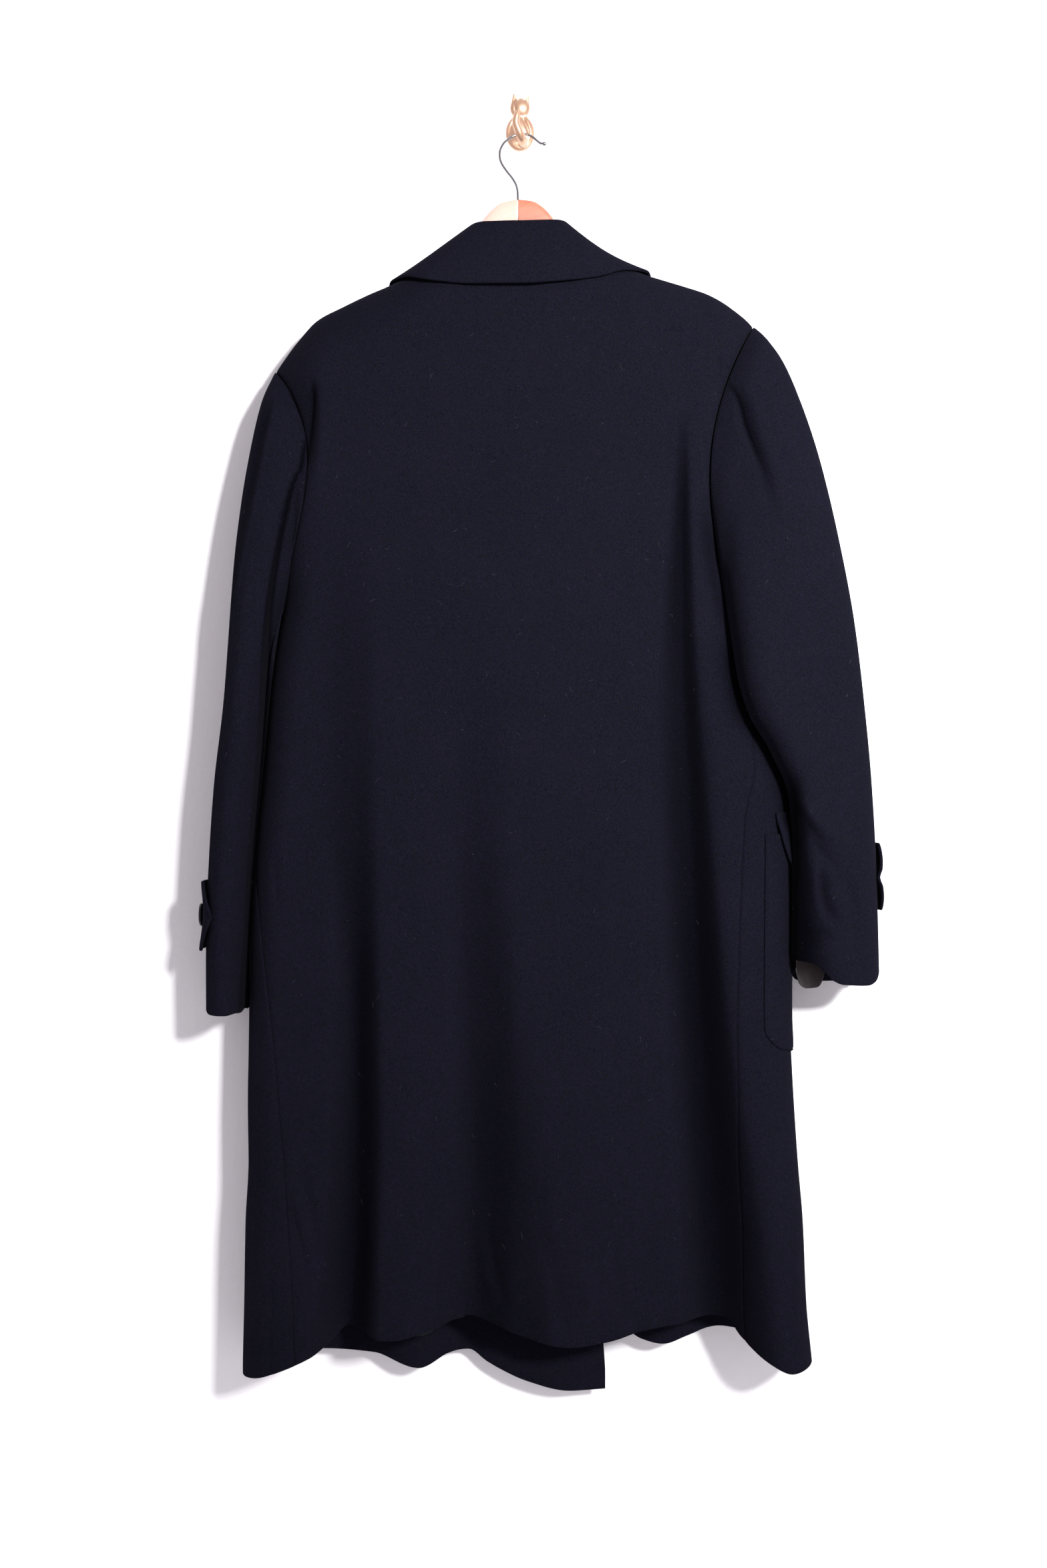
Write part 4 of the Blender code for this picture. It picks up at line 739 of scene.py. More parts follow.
# Lines are (depth, width, start taper, end taper, points as x and drop).
backCreases = (
    (4.5, 4.5, 0.4, 0.2, ((-212, 268), (-208.5, 290), (-208, 306), (-209.5, 326), (-212, 350), (-215, 375))),
    (-1.8, 6.0, 0.5, 0.4, ((-202, 285), (-200, 320), (-203, 360), (-208, 400))),
    (-2.2, 9.0, 0.4, 0.6, ((-196, 275), (-198, 330), (-206, 390), (-214, 450))),
    (1.6, 10.0, 0.5, 0.5, ((150, 215), (158, 250), (165, 290), (172, 330))),
    (1.3, 16.0, 0.5, 0.5, ((-60, 215), (-20, 222), (30, 222), (70, 214))),
    (2.6, 7.0, 0.6, 0.2, ((-62, 1090), (-66, 1140), (-76, 1190), (-88, 1226))),
    (-2.6, 7.0, 0.6, 0.2, ((-44, 1080), (-40, 1130), (-34, 1180), (-22, 1222))),
    (2.2, 5.0, 0.5, 0.2, ((-34, 1110), (-30, 1150), (-20, 1190), (-6, 1224))),
    (3.0, 8.0, 0.7, 0.2, ((14, 1060), (20, 1120), (34, 1180), (44, 1236))),
    (-2.0, 8.0, 0.7, 0.3, ((44, 1090), (56, 1150), (72, 1236))),
    (1.8, 7.0, 0.6, 0.3, ((84, 1120), (92, 1170), (104, 1230))),
    (2.4, 6.0, 0.5, 0.5, ((-226, 1040), (-214, 1090), (-204, 1140), (-198, 1180))),
    (2.0, 5.0, 0.5, 0.5, ((-238, 1080), (-222, 1130), (-210, 1190))),
    (-1.6, 5.0, 0.5, 0.5, ((-232, 1070), (-218, 1120), (-208, 1180))),
    (1.4, 4.0, 0.4, 0.4, ((-246, 745), (-244, 790), (-240, 830))),
    (1.2, 4.0, 0.4, 0.4, ((-100, 1180), (-96, 1206), (-94, 1232))),
)
hemRipples = {"height": 0.8, "reach": 42.0}


def backSurface():
    # Columns run between the armholes or side seams, rows from the ridge to the hem. Depth is the flat back
    # plus folds and creases, drawn to the seams' depth by a quarter circle at each side and over the ridge.
    upper = len(armShares)
    rows = {}
    for side in ("left", "right"):
        x, drop, depth, _ = armholePoint(side, armShares)
        seamHemX, _ = roundSide(side, sideSeams.read(side, hemLevel), np.array(hemLevel))
        low = drop[-1] + (backHem.read("drop", seamHemX) - drop[-1]) * skirtShares
        seamX, _ = roundSide(side, sideSeams.read(side, low), low)
        rows[side] = {
            "x": np.concatenate([x, seamX]), "drop": np.concatenate([drop, low]),
            "side": np.concatenate([x, sideSign(side) * sides.read(side, low)]),
            "depth": np.concatenate([depth, depths.read("middle", low)]),
        }
    share = np.linspace(0, 1, cloth["backColumns"] + 1)
    share = 0.55 * share + 0.45 * (1 - np.cos(math.pi * share)) / 2
    x = rows["left"]["x"][:, None] + (rows["right"]["x"] - rows["left"]["x"])[:, None] * share[None, :]
    middle = (neckLeft[0] + neckRight[0]) / 2
    reach = (neckRight[0] - neckLeft[0]) / 2
    bow = np.clip(1 - ((x[0] - middle) / reach) ** 2, 0, 1)
    level = neckLeft[1] + (neckRight[1] - neckLeft[1]) * np.clip((x[0] - neckLeft[0]) / (2 * reach), 0, 1)
    top = level + (neckDip - level) * bow
    top = np.where(x[0] <= neckLeft[0], ridges["left"].read("drop", x[0]), top)
    top = np.where(x[0] >= neckRight[0], ridges["right"].read("drop", x[0]), top)
    topDepth = ridgeY + (neckBackY - ridgeY) * np.sqrt(bow)
    across = (x[upper - 1] - x[upper - 1, 0]) / (x[upper - 1, -1] - x[upper - 1, 0])
    leftLow, rightLow = (rows[side]["drop"][upper - 1] for side in ("left", "right"))
    drop = levelGrid(top, leftLow + (rightLow - leftLow) * across, backHem.read("drop", x[-1]) - 0.8)
    flat = depths.read("back", drop)
    atLeft = rounding((x - rows["left"]["side"][:, None]) / sideRounding)
    atRight = rounding((rows["right"]["side"][:, None] - x) / sideRounding)
    depth = flat + folds(backFolds, x, drop) * (1 - atLeft) * (1 - atRight)
    depth = depth + (rows["left"]["depth"][:, None] - flat) * atLeft
    depth = depth + (rows["right"]["depth"][:, None] - flat) * atRight
    depth = depth + creases(backCreases, x, drop)
    low = softStep(drop, backHem.read("drop", x) - hemRipples["reach"], backHem.read("drop", x))
    depth = depth + low * hemRipples["height"] * np.sin(x * 0.13 + 1.7 * np.sin(x * 0.05))
    over = 1 - rounding((drop - top[None, :]) / backRounding)
    depth = topDepth[None, :] + (depth - topDepth[None, :]) * over
    return np.stack([x, depth, -drop], axis=2)


def innerWall(toFold, height):
    # Half the cloth's wall, and a second layer from the hem's fold up to the turn-up's edge.
    return halfCloth + cloth["turnUpWall"] * (1 - softStep(toFold, height - 1.2, height + 1.2))


def makeBack():
    # The back's surface, sunk along its seams, as a wall of cloth.
    points = backSurface()
    ways = seamWays(points, gridNormals(points), (("left", 0), ("right", -1)))
    dip = np.maximum(edgeDip(points, "left"), edgeDip(points, "right"))
    neckOpen = (points[0, :, 0] > neckLeft[0]) & (points[0, :, 0] < neckRight[0])
    dip = np.maximum(dip, edgeDip(points, "top") * ~neckOpen[None, :])
    sunk = points - ways * dip[..., None]
    inner = innerWall(points[..., 2] - points[-1:, :, 2], cloth["turnUp"])
    # Painted shade from bodyShade goes with the wall as an attribute.
    made = shell("coat_back", sunk, ways, halfCloth, inner, (0.1, 0.1, 1.2, 0.1), wool, "wool",
                 painted_shade=bodyShade(points))
    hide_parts("back")
    return points, ways


backPoints, backWays = makeBack()
print("back made")


def frontSurface(side):
    # Columns run from the side seam round the side and along the front, rows from the ridge to the hem.
    # Above the underarm the side's edge is the armhole; a quarter circle draws the top over the ridge.
    sign = sideSign(side)
    roundShare = np.linspace(0, 1, cloth["roundColumns"] + 1)
    flatShare = np.linspace(0, 1, cloth["flatColumns"][side] + 1)[1:]
    upper = len(armShares)
    turnOver = np.concatenate([roundShare, np.ones(len(flatShare))])
    flatOver = np.concatenate([np.zeros(len(roundShare)), flatShare])

    def wraps(drop):
        # Place round the side of each column: half a turn, then along the front to its free edge.
        start = sideSeams.read(side, drop)
        return start + (1 - start) * turnOver + frontSpan(side, drop) * flatOver

    armX, armDrop, _, armDepth = armholePoint(side, armShares)
    hemWrap = wraps(np.full(turnOver.shape, hemLevel))
    hemX, _ = roundSide(side, hemWrap, np.full(hemWrap.shape, hemLevel))
    hem = np.where(hemWrap < 0.5, backHem.read("drop", hemX), frontHems[side].read("drop", hemX)) - 0.8
    turn = math.pi * (0.5 + 0.5 * turnOver)
    topEdge = np.abs(armX[0])
    topFlat = topEdge - sideRounding - sign * frontEdges.read(side, 141)
    topOut = topEdge - sideRounding + sideRounding * np.sin(turn) - topFlat * flatOver
    top = ridges[side].read("drop", sign * topOut)
    share = (topEdge - topOut) / (topEdge - topOut[-1])
    drop = levelGrid(top, armDrop[-1] + (underarmAtFront - armDrop[-1]) * share, hem)
    edge = np.abs(armX)[:, None]
    flat = edge - sideRounding - sign * frontEdges.read(side, drop[:upper, -1:])
    out = edge - sideRounding + sideRounding * np.sin(turn)[None, :] - flat * flatOver[None, :]
    upperX = sign * out
    bend = -np.cos(turn)[None, :]
    upperDepth = armDepth[:, None] + (depths.read("front", drop[:upper]) - armDepth[:, None]) * bend
    upperDepth = upperDepth + folds(frontFolds[side], upperX, drop[:upper]) * (bend >= 1)
    lowerX, lowerDepth = roundSide(side, wraps(drop[upper:]), drop[upper:])
    x = np.concatenate([upperX, lowerX])
    depth = np.concatenate([upperDepth, lowerDepth])
    over = 1 - rounding((drop - top[None, :]) / frontRounding)
    depth = ridgeY + (depth - ridgeY) * over
    return np.stack([x, depth, -drop], axis=2)


def makeFront(side):
    # The front's surface, sunk along its seams, as a wall of cloth.
    points = frontSurface(side)
    ways = -sideSign(side) * gridNormals(points)
    ways = seamWays(points, ways, ((side, 0),))
    dip = np.maximum(edgeDip(points, "left"), edgeDip(points, "top"))
    sunk = points - ways * dip[..., None]
    inner = innerWall(points[..., 2] - points[-1:, :, 2], cloth["turnUp"])
    # Painted shade from bodyShade goes with the wall as an attribute.
    made = shell(f"coat_{side}_front", sunk, ways, halfCloth, inner, (0.1, 1.2, 1.2, 0.1), wool, "wool",
                 painted_shade=bodyShade(points))
    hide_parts(f"{side}_front")
    return points, ways


fronts = {
    "left": makeFront("left"),
    "right": makeFront("right"),
}
print("fronts made")


# Each ring: outer x and drop, inner x and drop, middle depth, half depth, inward bow, and how far the inner
# end leans to the viewer.
sleeveRings = {
    "left": (
        (-262, 299, -243.6, 516, -60, 39, 20, 0), (-271, 339, -246, 532, -64, 42, 12, 0),
        (-281, 400, -249, 552, -68, 46, 6, -2), (-288, 462, -252.5, 580, -70, 49, 2, -5),
        (-293, 535, -256, 615, -71, 51, 0, -8), (-298, 602, -259.6, 655, -71, 52, 0, -10),
        (-308, 688, -266, 720, -70, 52, 0, -10), (-313, 760, -271.4, 780, -69, 51, 0, -10),
        (-316, 830, -275, 842, -68, 50, 0, -10), (-316.5, 880, -276, 884, -67, 49, 0, -10),
        (-316.5, 917, -276.5, 917, -66, 48, 0, -10),
    ),
    "right": (
        (250.5, 236, 206, 488, -60, 39, -21, 3), (264.5, 257, 207.2, 500, -64, 42, -15, 8),
        (281, 296, 210, 520, -69, 46, -10, 17), (300.5, 357, 214, 548, -74, 50, -5, 23),
        (320, 441, 219.5, 583, -78, 52, -2, 26), (335, 522, 229.5, 616, -79, 52, 0, 27),
        (345, 602, 252, 655, -77, 51, 0, 26), (353, 684, 271, 703, -74, 50, 0, 22),
        (358, 765, 274.5, 770, -72, 48, 0, 20), (360, 823, 274.5, 818, -71, 47, 0, 19),
        (361.5, 888, 273.5, 865, -70, 46, 0, 18),
    ),
}
# The hem of each sleeve, as a drop for each x, on the viewer's side and on the wall's side.
sleeveHems = {
    "left": Table(
        "x near far",
        (-318, 909, 909), (-315.5, 914, 914), (-310, 917, 917), (-295, 917.5, 917), (-285, 915.5, 915),
        (-276, 913, 913),
    ),
    "right": Table(
        "x near far",
        (271, 861.5, 874), (282, 862.5, 886), (291, 864.4, 889), (301, 872, 889), (311, 881.5, 889),
        (321, 885.7, 889), (348, 887.3, 888), (356, 884, 885), (361, 876, 878),
    ),
}
sleeve = {
    "squareness": 2.5, "start": {"left": 0.7, "right": 1.1}, "dip": {"left": 0.35, "right": 0.85},
    "underarmStart": 2.6, "around": 94, "along": 160, "turnUp": 30.0,
}
# The left sleeve's own long fold: where its face ends, and how far the cloth beyond it lies back.
leftStep = Table(
    "drop x depth",
    (345, -219, 0), (370, -222.7, 3), (380, -228.7, 6), (393, -233.4, 8), (410, -237.4, 9),
    (430, -241.4, 10),
    (447, -244.7, 11), (467, -248, 12), (484, -250.7, 14), (504, -253.4, 17), (524, -255.4, 20),
    (544, -257.4, 24), (564, -258.8, 28), (590, -260.1, 31), (644, -263.4, 34), (704, -268.4, 36),
    (771, -274.1, 36), (838, -278.1, 34), (904, -282.1, 32), (930, -284, 30),
)
sleeveCreases = {
    "left": (
        (-3.0, 3.0, 0.2, 0.3, ((-247.5, 300), (-253.5, 335), (-258.9, 362), (-263.6, 389), (-268.9, 416),
                               (-274.3, 443), (-279.6, 470), (-283.7, 496), (-287.7, 523), (-290.4, 547))),
        (2.4, 5.0, 0.3, 0.4, ((-254, 310), (-261, 350), (-268, 390), (-276, 430), (-284, 480), (-290, 520))),
        (-1.6, 8.0, 0.4, 0.4, ((-240, 345), (-246, 390), (-253, 450), (-262, 520), (-268, 590))),
        (1.5, 8.0, 0.5, 0.5, ((-300, 730), (-292, 752), (-286, 790))),
    ),
    "right": (
        (4.5, 5.5, 0.12, 0.6, ((208, 279), (214, 288), (219, 298), (223, 311), (226, 326), (231.5, 342),
                               (237.5, 359), (243, 376), (249, 405), (257, 450))),
        (-2.0, 8.0, 0.3, 0.5, ((222, 276), (231, 300), (240, 340), (252, 385), (264, 430))),
        (-1.4, 12.0, 0.4, 0.4, ((203, 330), (206, 380), (214, 440), (226, 500))),
        (-4.5, 4.5, 0.3, 0.5, ((270, 694), (285, 716), (305, 735), (328, 748), (345, 754))),
        (4.5, 5.0, 0.3, 0.5, ((276, 714), (294, 742), (310, 760), (322, 782))),
        (-4.0, 5.0, 0.3, 0.4, ((290, 757), (293, 795), (299, 820), (312, 834), (324, 840))),
        (4.0, 5.0, 0.3, 0.4, ((299, 764), (303, 796), (312, 818), (330, 830))),
        (2.2, 7.0, 0.4, 0.4, ((318, 770), (330, 800), (334, 840))),
        (-2.0, 6.0, 0.4, 0.4, ((330, 770), (340, 800), (342, 850))),
        (2.5, 6.0, 0.3, 0.3, ((280, 770), (282, 810), (284, 850))),
    ),
}
# Bands of painted shade on the sleeves: along the left sleeve's long fold and beside its outer ridge, and
# down the right sleeve's inner side near the cuff.
sleeveShadeBands = {
    "left": (
        paintedShadeBand(
        (330, -215, 2.0, 2.0, 0), (352, -218.5, 2.4, 2.6, 0.75), (370, -221.5, 2.4, 2.8, 0.82),
            (380, -227, 2.2, 3.2, 0.82), (393, -231.9, 2.0, 3.6, 0.82), (410, -235.9, 2.0, 3.8, 0.82),
            (430, -239.9, 2.0, 3.8, 0.82), (467, -246.5, 2.0, 3.4, 0.82), (504, -251.9, 2.2, 3.2, 0.84),
            (544, -255.9, 2.2, 3.6, 0.84), (564, -257.3, 2.2, 5.5, 0.84), (590, -258.6, 2.2, 9.0, 0.84),
            (644, -261.9, 2.2, 18, 0.84), (704, -266.9, 2.2, 18, 0.84), (771, -272.6, 2.2, 18, 0.84),
            (838, -276.6, 2.2, 18, 0.84), (904, -280.6, 2.2, 18, 0.84), (930, -282.5, 2.2, 18, 0.84),
        ),
        paintedShadeBand(
        (290, -247, 7, 1.0, 0), (309, -250.6, 8, 1.2, 0.3), (336, -256, 9, 1.3, 0.42),
        (389, -265.4, 9, 1.3, 0.45),
            (443, -276, 9, 1.3, 0.45), (496, -285.4, 8, 1.3, 0.4), (530, -290, 7, 1.3, 0.25),
            (556, -293, 6, 1.3, 0),
        ),
    ),
    "right": (
        paintedShadeBand(
        (672, 272, 30, 4, 0), (704, 273, 30, 8, 0.84), (717, 274, 30, 10.5, 0.84),
        (734, 274, 30, 15.7, 0.84),
            (746, 275, 30, 11, 0.84), (771, 275, 30, 14, 0.84), (804, 275, 30, 15.5, 0.84),
            (824, 275, 30, 21, 0.84),
            (834, 275, 30, 30, 0.82), (851, 275, 30, 28, 0.82), (864, 275, 30, 32, 0.8),
            (890, 275, 30, 34, 0.8),
        ),
    ),
}
# Lines of painted shade on the sleeves: (amount, width, start taper, end taper, points as x and drop).
sleeveShades = {
    "left": (
        (0.2, 8.0, 0.3, 0.4, ((-212, 335), (-215, 360), (-222, 400), (-232, 440), (-240, 490))),
        (0.18, 9.0, 0.2, 0.4, ((-256, 303), (-262, 337), (-268, 377), (-275, 417), (-283, 457), (-289, 497),
                               (-295, 537))),
    ),
    "right": (
        (0.2, 34.0, 0.3, 0.05, ((272, 744), (277, 800), (281, 880))),
        (0.65, 2.8, 0.1, 0.6, ((208, 279), (214, 288), (219, 298), (223, 311), (226, 326), (231.5, 342),
                               (237.5, 359), (243, 376), (249, 405))),
        (0.28, 8.0, 0.2, 0.6, ((212, 282), (222, 298), (227, 315), (233, 340), (242, 370), (250, 410),
                               (257, 450))),
        (0.42, 4.5, 0.3, 0.5, ((275, 716), (293, 744), (309, 762), (320, 782))),
        (0.42, 4.5, 0.3, 0.4, ((298, 765), (302, 796), (311, 818), (326, 828))),
    ),
}


def squared(value, power):
    # |value|^power with the value's own sign.
    return np.sign(value) * np.abs(value) ** power


def sleeveRing(side, row, share):
    # Superellipse |cos|^p, |sin|^p between the outer line and the underside, bowed inwards at its middle.
    topX, topDrop, underX, underDrop, middleY, halfDepth, inward, lean = row
    cosine = 1 - 2 * share
    sine = 2 * np.sqrt(share * (1 - share))
    power = 2 / sleeve["squareness"]
    along = squared(cosine, power)
    x = (topX + underX) / 2 + (topX - underX) / 2 * along - sideSign(side) * abs(inward) * sine**2
    drop = (topDrop + underDrop) / 2 + (topDrop - underDrop) / 2 * along
    return x, drop, middleY - lean * softStep(share, 0.35, 1.0), halfDepth * sine**power


def sleeveSurface(side):
    # The armhole and the rings after it, read smoothly along the sleeve, with creases on the viewer's side.
    count = sleeve["around"]
    shares = (1 - np.cos(math.pi * np.linspace(0, 1, count + 1))) / 2
    both = np.concatenate([shares, shares[-2:0:-1]])
    viewer = np.concatenate([np.ones(count + 1), np.zeros(count - 1)])
    armX, armDrop, armBack, armFront = armholePoint(side, both)
    armX = armX + sideSign(side) * (sleeve["start"][side] + sleeve["underarmStart"] * both**3)
    rings = [np.stack([armX, np.where(viewer > 0, armBack, armFront), -armDrop], axis=1)]
    for row in sleeveRings[side]:
        x, drop, middleY, reach = sleeveRing(side, row, both)
        rings.append(np.stack([x, np.where(viewer > 0, middleY - reach, middleY + reach), -drop], axis=1))
    hem = sleeveHems[side]
    hemX = rings[-1][:, 0]
    rings[-1][:, 2] = -np.where(viewer > 0, hem.read("near", hemX), hem.read("far", hemX))
    rings = np.array(rings)
    # Distances between rings are averaged over each ring, so that the rows lie evenly along the sleeve.
    gaps = np.linalg.norm(np.diff(rings, axis=0), axis=2).mean(axis=1)
    keys = np.concatenate([[0], np.cumsum(gaps)])
    at = np.linspace(0, 1, sleeve["along"] + 1)
    at = (0.75 * at + 0.25 * at**2) * keys[-1]
    points = smoothRead(keys, rings, at)
    x, drop = points[..., 0], -points[..., 2]
    moved = creases(sleeveCreases[side], x, drop)
    if side == "left":
        line = leftStep.read("x", drop)
        past = softStep(x, line - 0.5, line + 3.2)
        inEnd = 1 - softStep(both[None, :], 0.90, 0.995)
        moved = moved + leftStep.read("depth", drop) * past * inEnd
    # No crease in the first few millimetres, because the seam is sewn flat there.
    fade = softStep(at / keys[-1], 0.0, 0.05)[:, None]
    points[..., 1] += moved * viewer[None, :] * fade
    return points


def makeSleeve(side):
    # The sleeve's surface, sunk at the armhole seam, as a closed wall of cloth.
    points = sleeveSurface(side)
    ways = gridNormals(points, True)
    if np.mean(ways[:, sleeve["around"] // 2, 1]) > 0:
        ways = -ways
    apart = np.cumsum(np.linalg.norm(np.diff(points, axis=0, prepend=points[:1]), axis=-1), axis=0)
    dip = sleeve["dip"][side] * np.exp(-apart / cloth["seamWidth"])
    sunk = points - ways * dip[..., None]
    inner = innerWall(apart[-1:] - apart, sleeve["turnUp"])
    x, drop = points[..., 0], -points[..., 2]
    # Painted shade: dark lines and bands along the sleeve's folds and beside the body, on the viewer's side
    # only.
    shade = np.maximum(creases(sleeveShades[side], x, drop), bands(sleeveShadeBands[side], x, drop, 3))
    shade = np.clip(shade, 0, 0.85) * softStep(-points[..., 1], 40, 80)
    made = shell(f"coat_{side}_sleeve", sunk, ways, halfCloth, inner, (0.1, 0, 1.2, 0), wool, "wool", True,
                 shade)
    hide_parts(f"{side}_sleeve")
    return points, ways


sleevePoints = {
    "left": makeSleeve("left"),
    "right": makeSleeve("right"),
}
sleeveLining = {
    "long": 90.0, "short": 16.0, "gap": 0.7, "halfWall": 0.4, "bag": 7.0, "bagAt": 19.0, "bagWide": 20.0,
    "rows": 24,
}


def makeSleeveLining(side):
    # The sleeve's own surface moved inwards near the cuff; on the wall's side it bags down over the turn-up.
    points, ways = sleevePoints[side]
    toCuff = np.linalg.norm(points - points[-1:], axis=-1).mean(axis=1)
    first = int(np.argmin(np.abs(toCuff - sleeveLining["long"])))
    x = points[-1, :, 0]
    innerEnd = x[sleeve["around"]]
    apart = (x - innerEnd - sideSign(side) * sleeveLining["bagAt"]) / sleeveLining["bagWide"]
    bag = np.exp(-(apart**6)) * (np.arange(len(x)) > sleeve["around"])
    last = len(points) - 1 - sleeveLining["short"] / (toCuff[-3] / 2) * (1 - bag)
    share = np.linspace(0, 1, sleeveLining["rows"])[:, None]
    row = first + (last - first)[None, :] * share
    low = np.clip(np.floor(row).astype(int), 0, len(points) - 2)
    part = (row - low)[..., None]
    column = np.broadcast_to(np.arange(len(x)), low.shape)
    surface = points[low, column] * (1 - part) + points[low + 1, column] * part
    out = unit(ways[low, column] * (1 - part) + ways[low + 1, column] * part)
    half = sleeveLining["halfWall"]
    inward = halfCloth + cloth["turnUpWall"] + sleeveLining["gap"] + half + 1.5 * bag
    surface = surface - out * np.broadcast_to(inward, low.shape)[..., None]
    surface[..., 2] -= sleeveLining["bag"] * bag * share**3
    made = shell(f"coat_{side}_sleeve_lining", surface, out, half, half, (0.3, 0, 0.4, 0), cuffSatin,
                 "lining", True)


for side in ("left", "right"):
    makeSleeveLining(side)
print("sleeves made")


collarTable = Table(
    "share foldX foldY foldDrop edgeX edgeY edgeDrop seamX seamY seamDrop outX outY outZ swell",
    (0.00, -40, -18.5, 205, -112, -15, 228, -52, -21.5, 207, 0, 1, 0, 1),
    (0.12, -49, -22, 158, -134, -17, 200, -61, -26, 163, -0.2, 0.9, 0.3, 0.5),
    (0.19, -51.5, -33, 133, -135, -26, 181, -66, -34.5, 147, -0.35, 0.5, 0.7, 0),
    (0.25, -52, -44, 121.0, -132, -44, 172.6, -68, -44, 140, -0.5, 0, 0.86, -1.5),
    (0.31, -48, -60, 120.0, -117, -71, 172, -60, -60, 147, -0.45, -0.6, 0.66, 0.5),
    (0.37, -40, -72, 120.3, -92, -87.5, 178, -44, -70, 154, -0.3, -0.9, 0.3, 2),
    (0.43, -24, -77, 120.8, -48, -92, 182.5, -25, -76, 158, -0.1, -1, 0.12, 3),
    (0.50, -1, -79, 120.8, 0, -94.5, 182.5, -1, -78, 160, 0, -1, 0.05, 3),
    (0.57, 20, -77, 119.8, 36, -92, 180, 22, -76, 158, 0.1, -1, 0.12, 3),
    (0.63, 38, -72, 118.4, 76, -87.5, 175, 41, -70, 153, 0.3, -0.9, 0.3, 2),
    (0.69, 45, -60, 117.6, 106, -72, 165, 56, -60, 145, 0.45, -0.6, 0.66, -1),
    (0.75, 48, -44, 118.2, 130, -44, 162, 63, -44, 136, 0.5, 0, 0.86, -4.5),
    (0.81, 48.5, -33, 129, 134, -26, 169, 61, -34.5, 142, 0.35, 0.5, 0.7, -2),
    (0.88, 50, -22, 152, 131, -17, 188, 58, -26, 158, 0.2, 0.9, 0.3, 0.5),
    (1.00, 46, -18.5, 200, 118, -15, 222, 57, -21.5, 202, 0, 1, 0, 1),
)
collar = {"wall": 3.0, "foldRadius": 2.1, "columns": 220, "standRows": 6, "foldRows": 12, "fallRows": 30}


def collarSurface():
    # Rows run up the stand, round the fold and down the fall, which swells out between fold and edge.
    along = np.linspace(0, 1, collar["columns"] + 1)

    def line(kind):
        x, y, drop = (collarTable.read(kind + axis, along) for axis in ("X", "Y", "Drop"))
        return np.stack([x, y, -drop], axis=1)

    fold, edge, seam = line("fold"), line("edge"), line("seam")
    out = unit(np.stack([collarTable.read("out" + axis, along) for axis in ("X", "Y", "Z")], axis=1))
    tip = fold - (edge + seam) / 2
    tip = unit(tip - out * np.sum(tip * out, axis=1, keepdims=True))
    radius = collar["foldRadius"]
    inner = fold - out * radius
    outer = fold + out * radius
    lines = [seam + (inner - seam) * s for s in np.linspace(0, 1, collar["standRows"] + 1)[:-1]]
    for bend in np.radians(np.linspace(-90, 90, collar["foldRows"] + 1)):
        lines.append(fold + radius * (out * math.sin(bend) + tip * math.cos(bend)))
    swell = collarTable.read("swell", along)[:, None]
    for s in np.linspace(0, 1, collar["fallRows"] + 1)[1:]:
        lines.append(outer + (edge - outer) * s + out * swell * math.sin(math.pi * s))
    return np.array(lines)


def makeCollar():
    # The collar's surface as a wall of cloth, its ways turned so that the fall faces the viewer.
    points = collarSurface()
    ways = gridNormals(points)
    if ways[-8, collar["columns"] // 2, 1] > 0:
        ways = -ways
    half = collar["wall"] / 2
    made = shell("coat_collar", points, ways, half, half, (0.3, 1.4, 1.5, 1.4), wool, "wool")
    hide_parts("collar")


lapel = {"y": -18.8, "halfWall": 1.2, "roll": 0.25, "turnIn": 1.5, "rows": 61, "columns": 41}
lapelTables = {
    "left": Table(
        "share turnDrop outerX outerDrop",
        (0.0, 216, -126, 252), (0.12, 240, -124, 262), (0.4, 330, -104, 330), (0.7, 430, -52, 430),
        (1.0, 512, 24, 514),
    ),
    "right": Table(
        "share turnDrop outerX outerDrop",
        (0.0, 211, 134, 246), (0.12, 235, 136, 256), (0.4, 330, 132, 326), (0.7, 430, 104, 428),
        (1.0, 512, 66, 514),
    ),
}


def makeLapel(side):
    # Straight across from the turning line to the outer edge, with a slight roll beside the turning line.
    table = lapelTables[side]
    down = np.linspace(0, 1, lapel["rows"])[:, None]
    share = np.linspace(0, 1, lapel["columns"])[None, :]
    turnDrop = table.read("turnDrop", down)
    turnX = frontEdges.read(side, turnDrop) + sideSign(side) * lapel["turnIn"]
    x = turnX + (table.read("outerX", down) - turnX) * share
    drop = turnDrop + (table.read("outerDrop", down) - turnDrop) * share
    y = lapel["y"] - lapel["roll"] * np.sin(math.pi * share) + 0 * x
    points = np.stack([x, y, -drop], axis=2)
    ways = gridNormals(points)
    ways = ways * np.sign(ways[..., 1:2])
    half = lapel["halfWall"]
    made = shell(f"coat_{side}_lapel", points, ways, half, half, (1.0, 1.2, 1.0, 1.2), wool, "wool")
    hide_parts(f"{side}_lapel")


makeCollar()
makeLapel("left")
makeLapel("right")
print("collar and lapels made")


pockets = {
    "left": {
        "start": 0.64, "end": 1.62, "top": 754.0, "bottom": 972.0,
        "flapStart": 0.60, "flapSwing": 0.0, "flapTop": 733.0,
    },
    "right": {
        "start": 0.04, "end": 1.42, "top": 738.0, "bottom": 956.0,
        "flapStart": 0.15, "flapSwing": 0.20, "flapTop": 717.0,
    },
}
pocket = {
    "wall": 2.2, "gap": 0.9, "corner": 26.0, "flapHeight": 66.0, "flapWall": 3.2, "flapLift": 4.0,
    "flapOver": 0.03, "flapCorner": 7.0, "flapGap": 1.1, "rows": 70, "columns": 54, "flapRows": 40,
}


def frontColumn(side, wrap, drop):
    # Which column of the front lies at a place counted round the side.
    seam = sideSeams.read(side, drop)
    onRound = cloth["roundColumns"] * (wrap - seam) / (1 - seam)
    onFlat = cloth["roundColumns"] + cloth["flatColumns"][side] * (wrap - 1) / frontSpan(side, drop)
    return np.where(wrap < 1, onRound, onFlat)


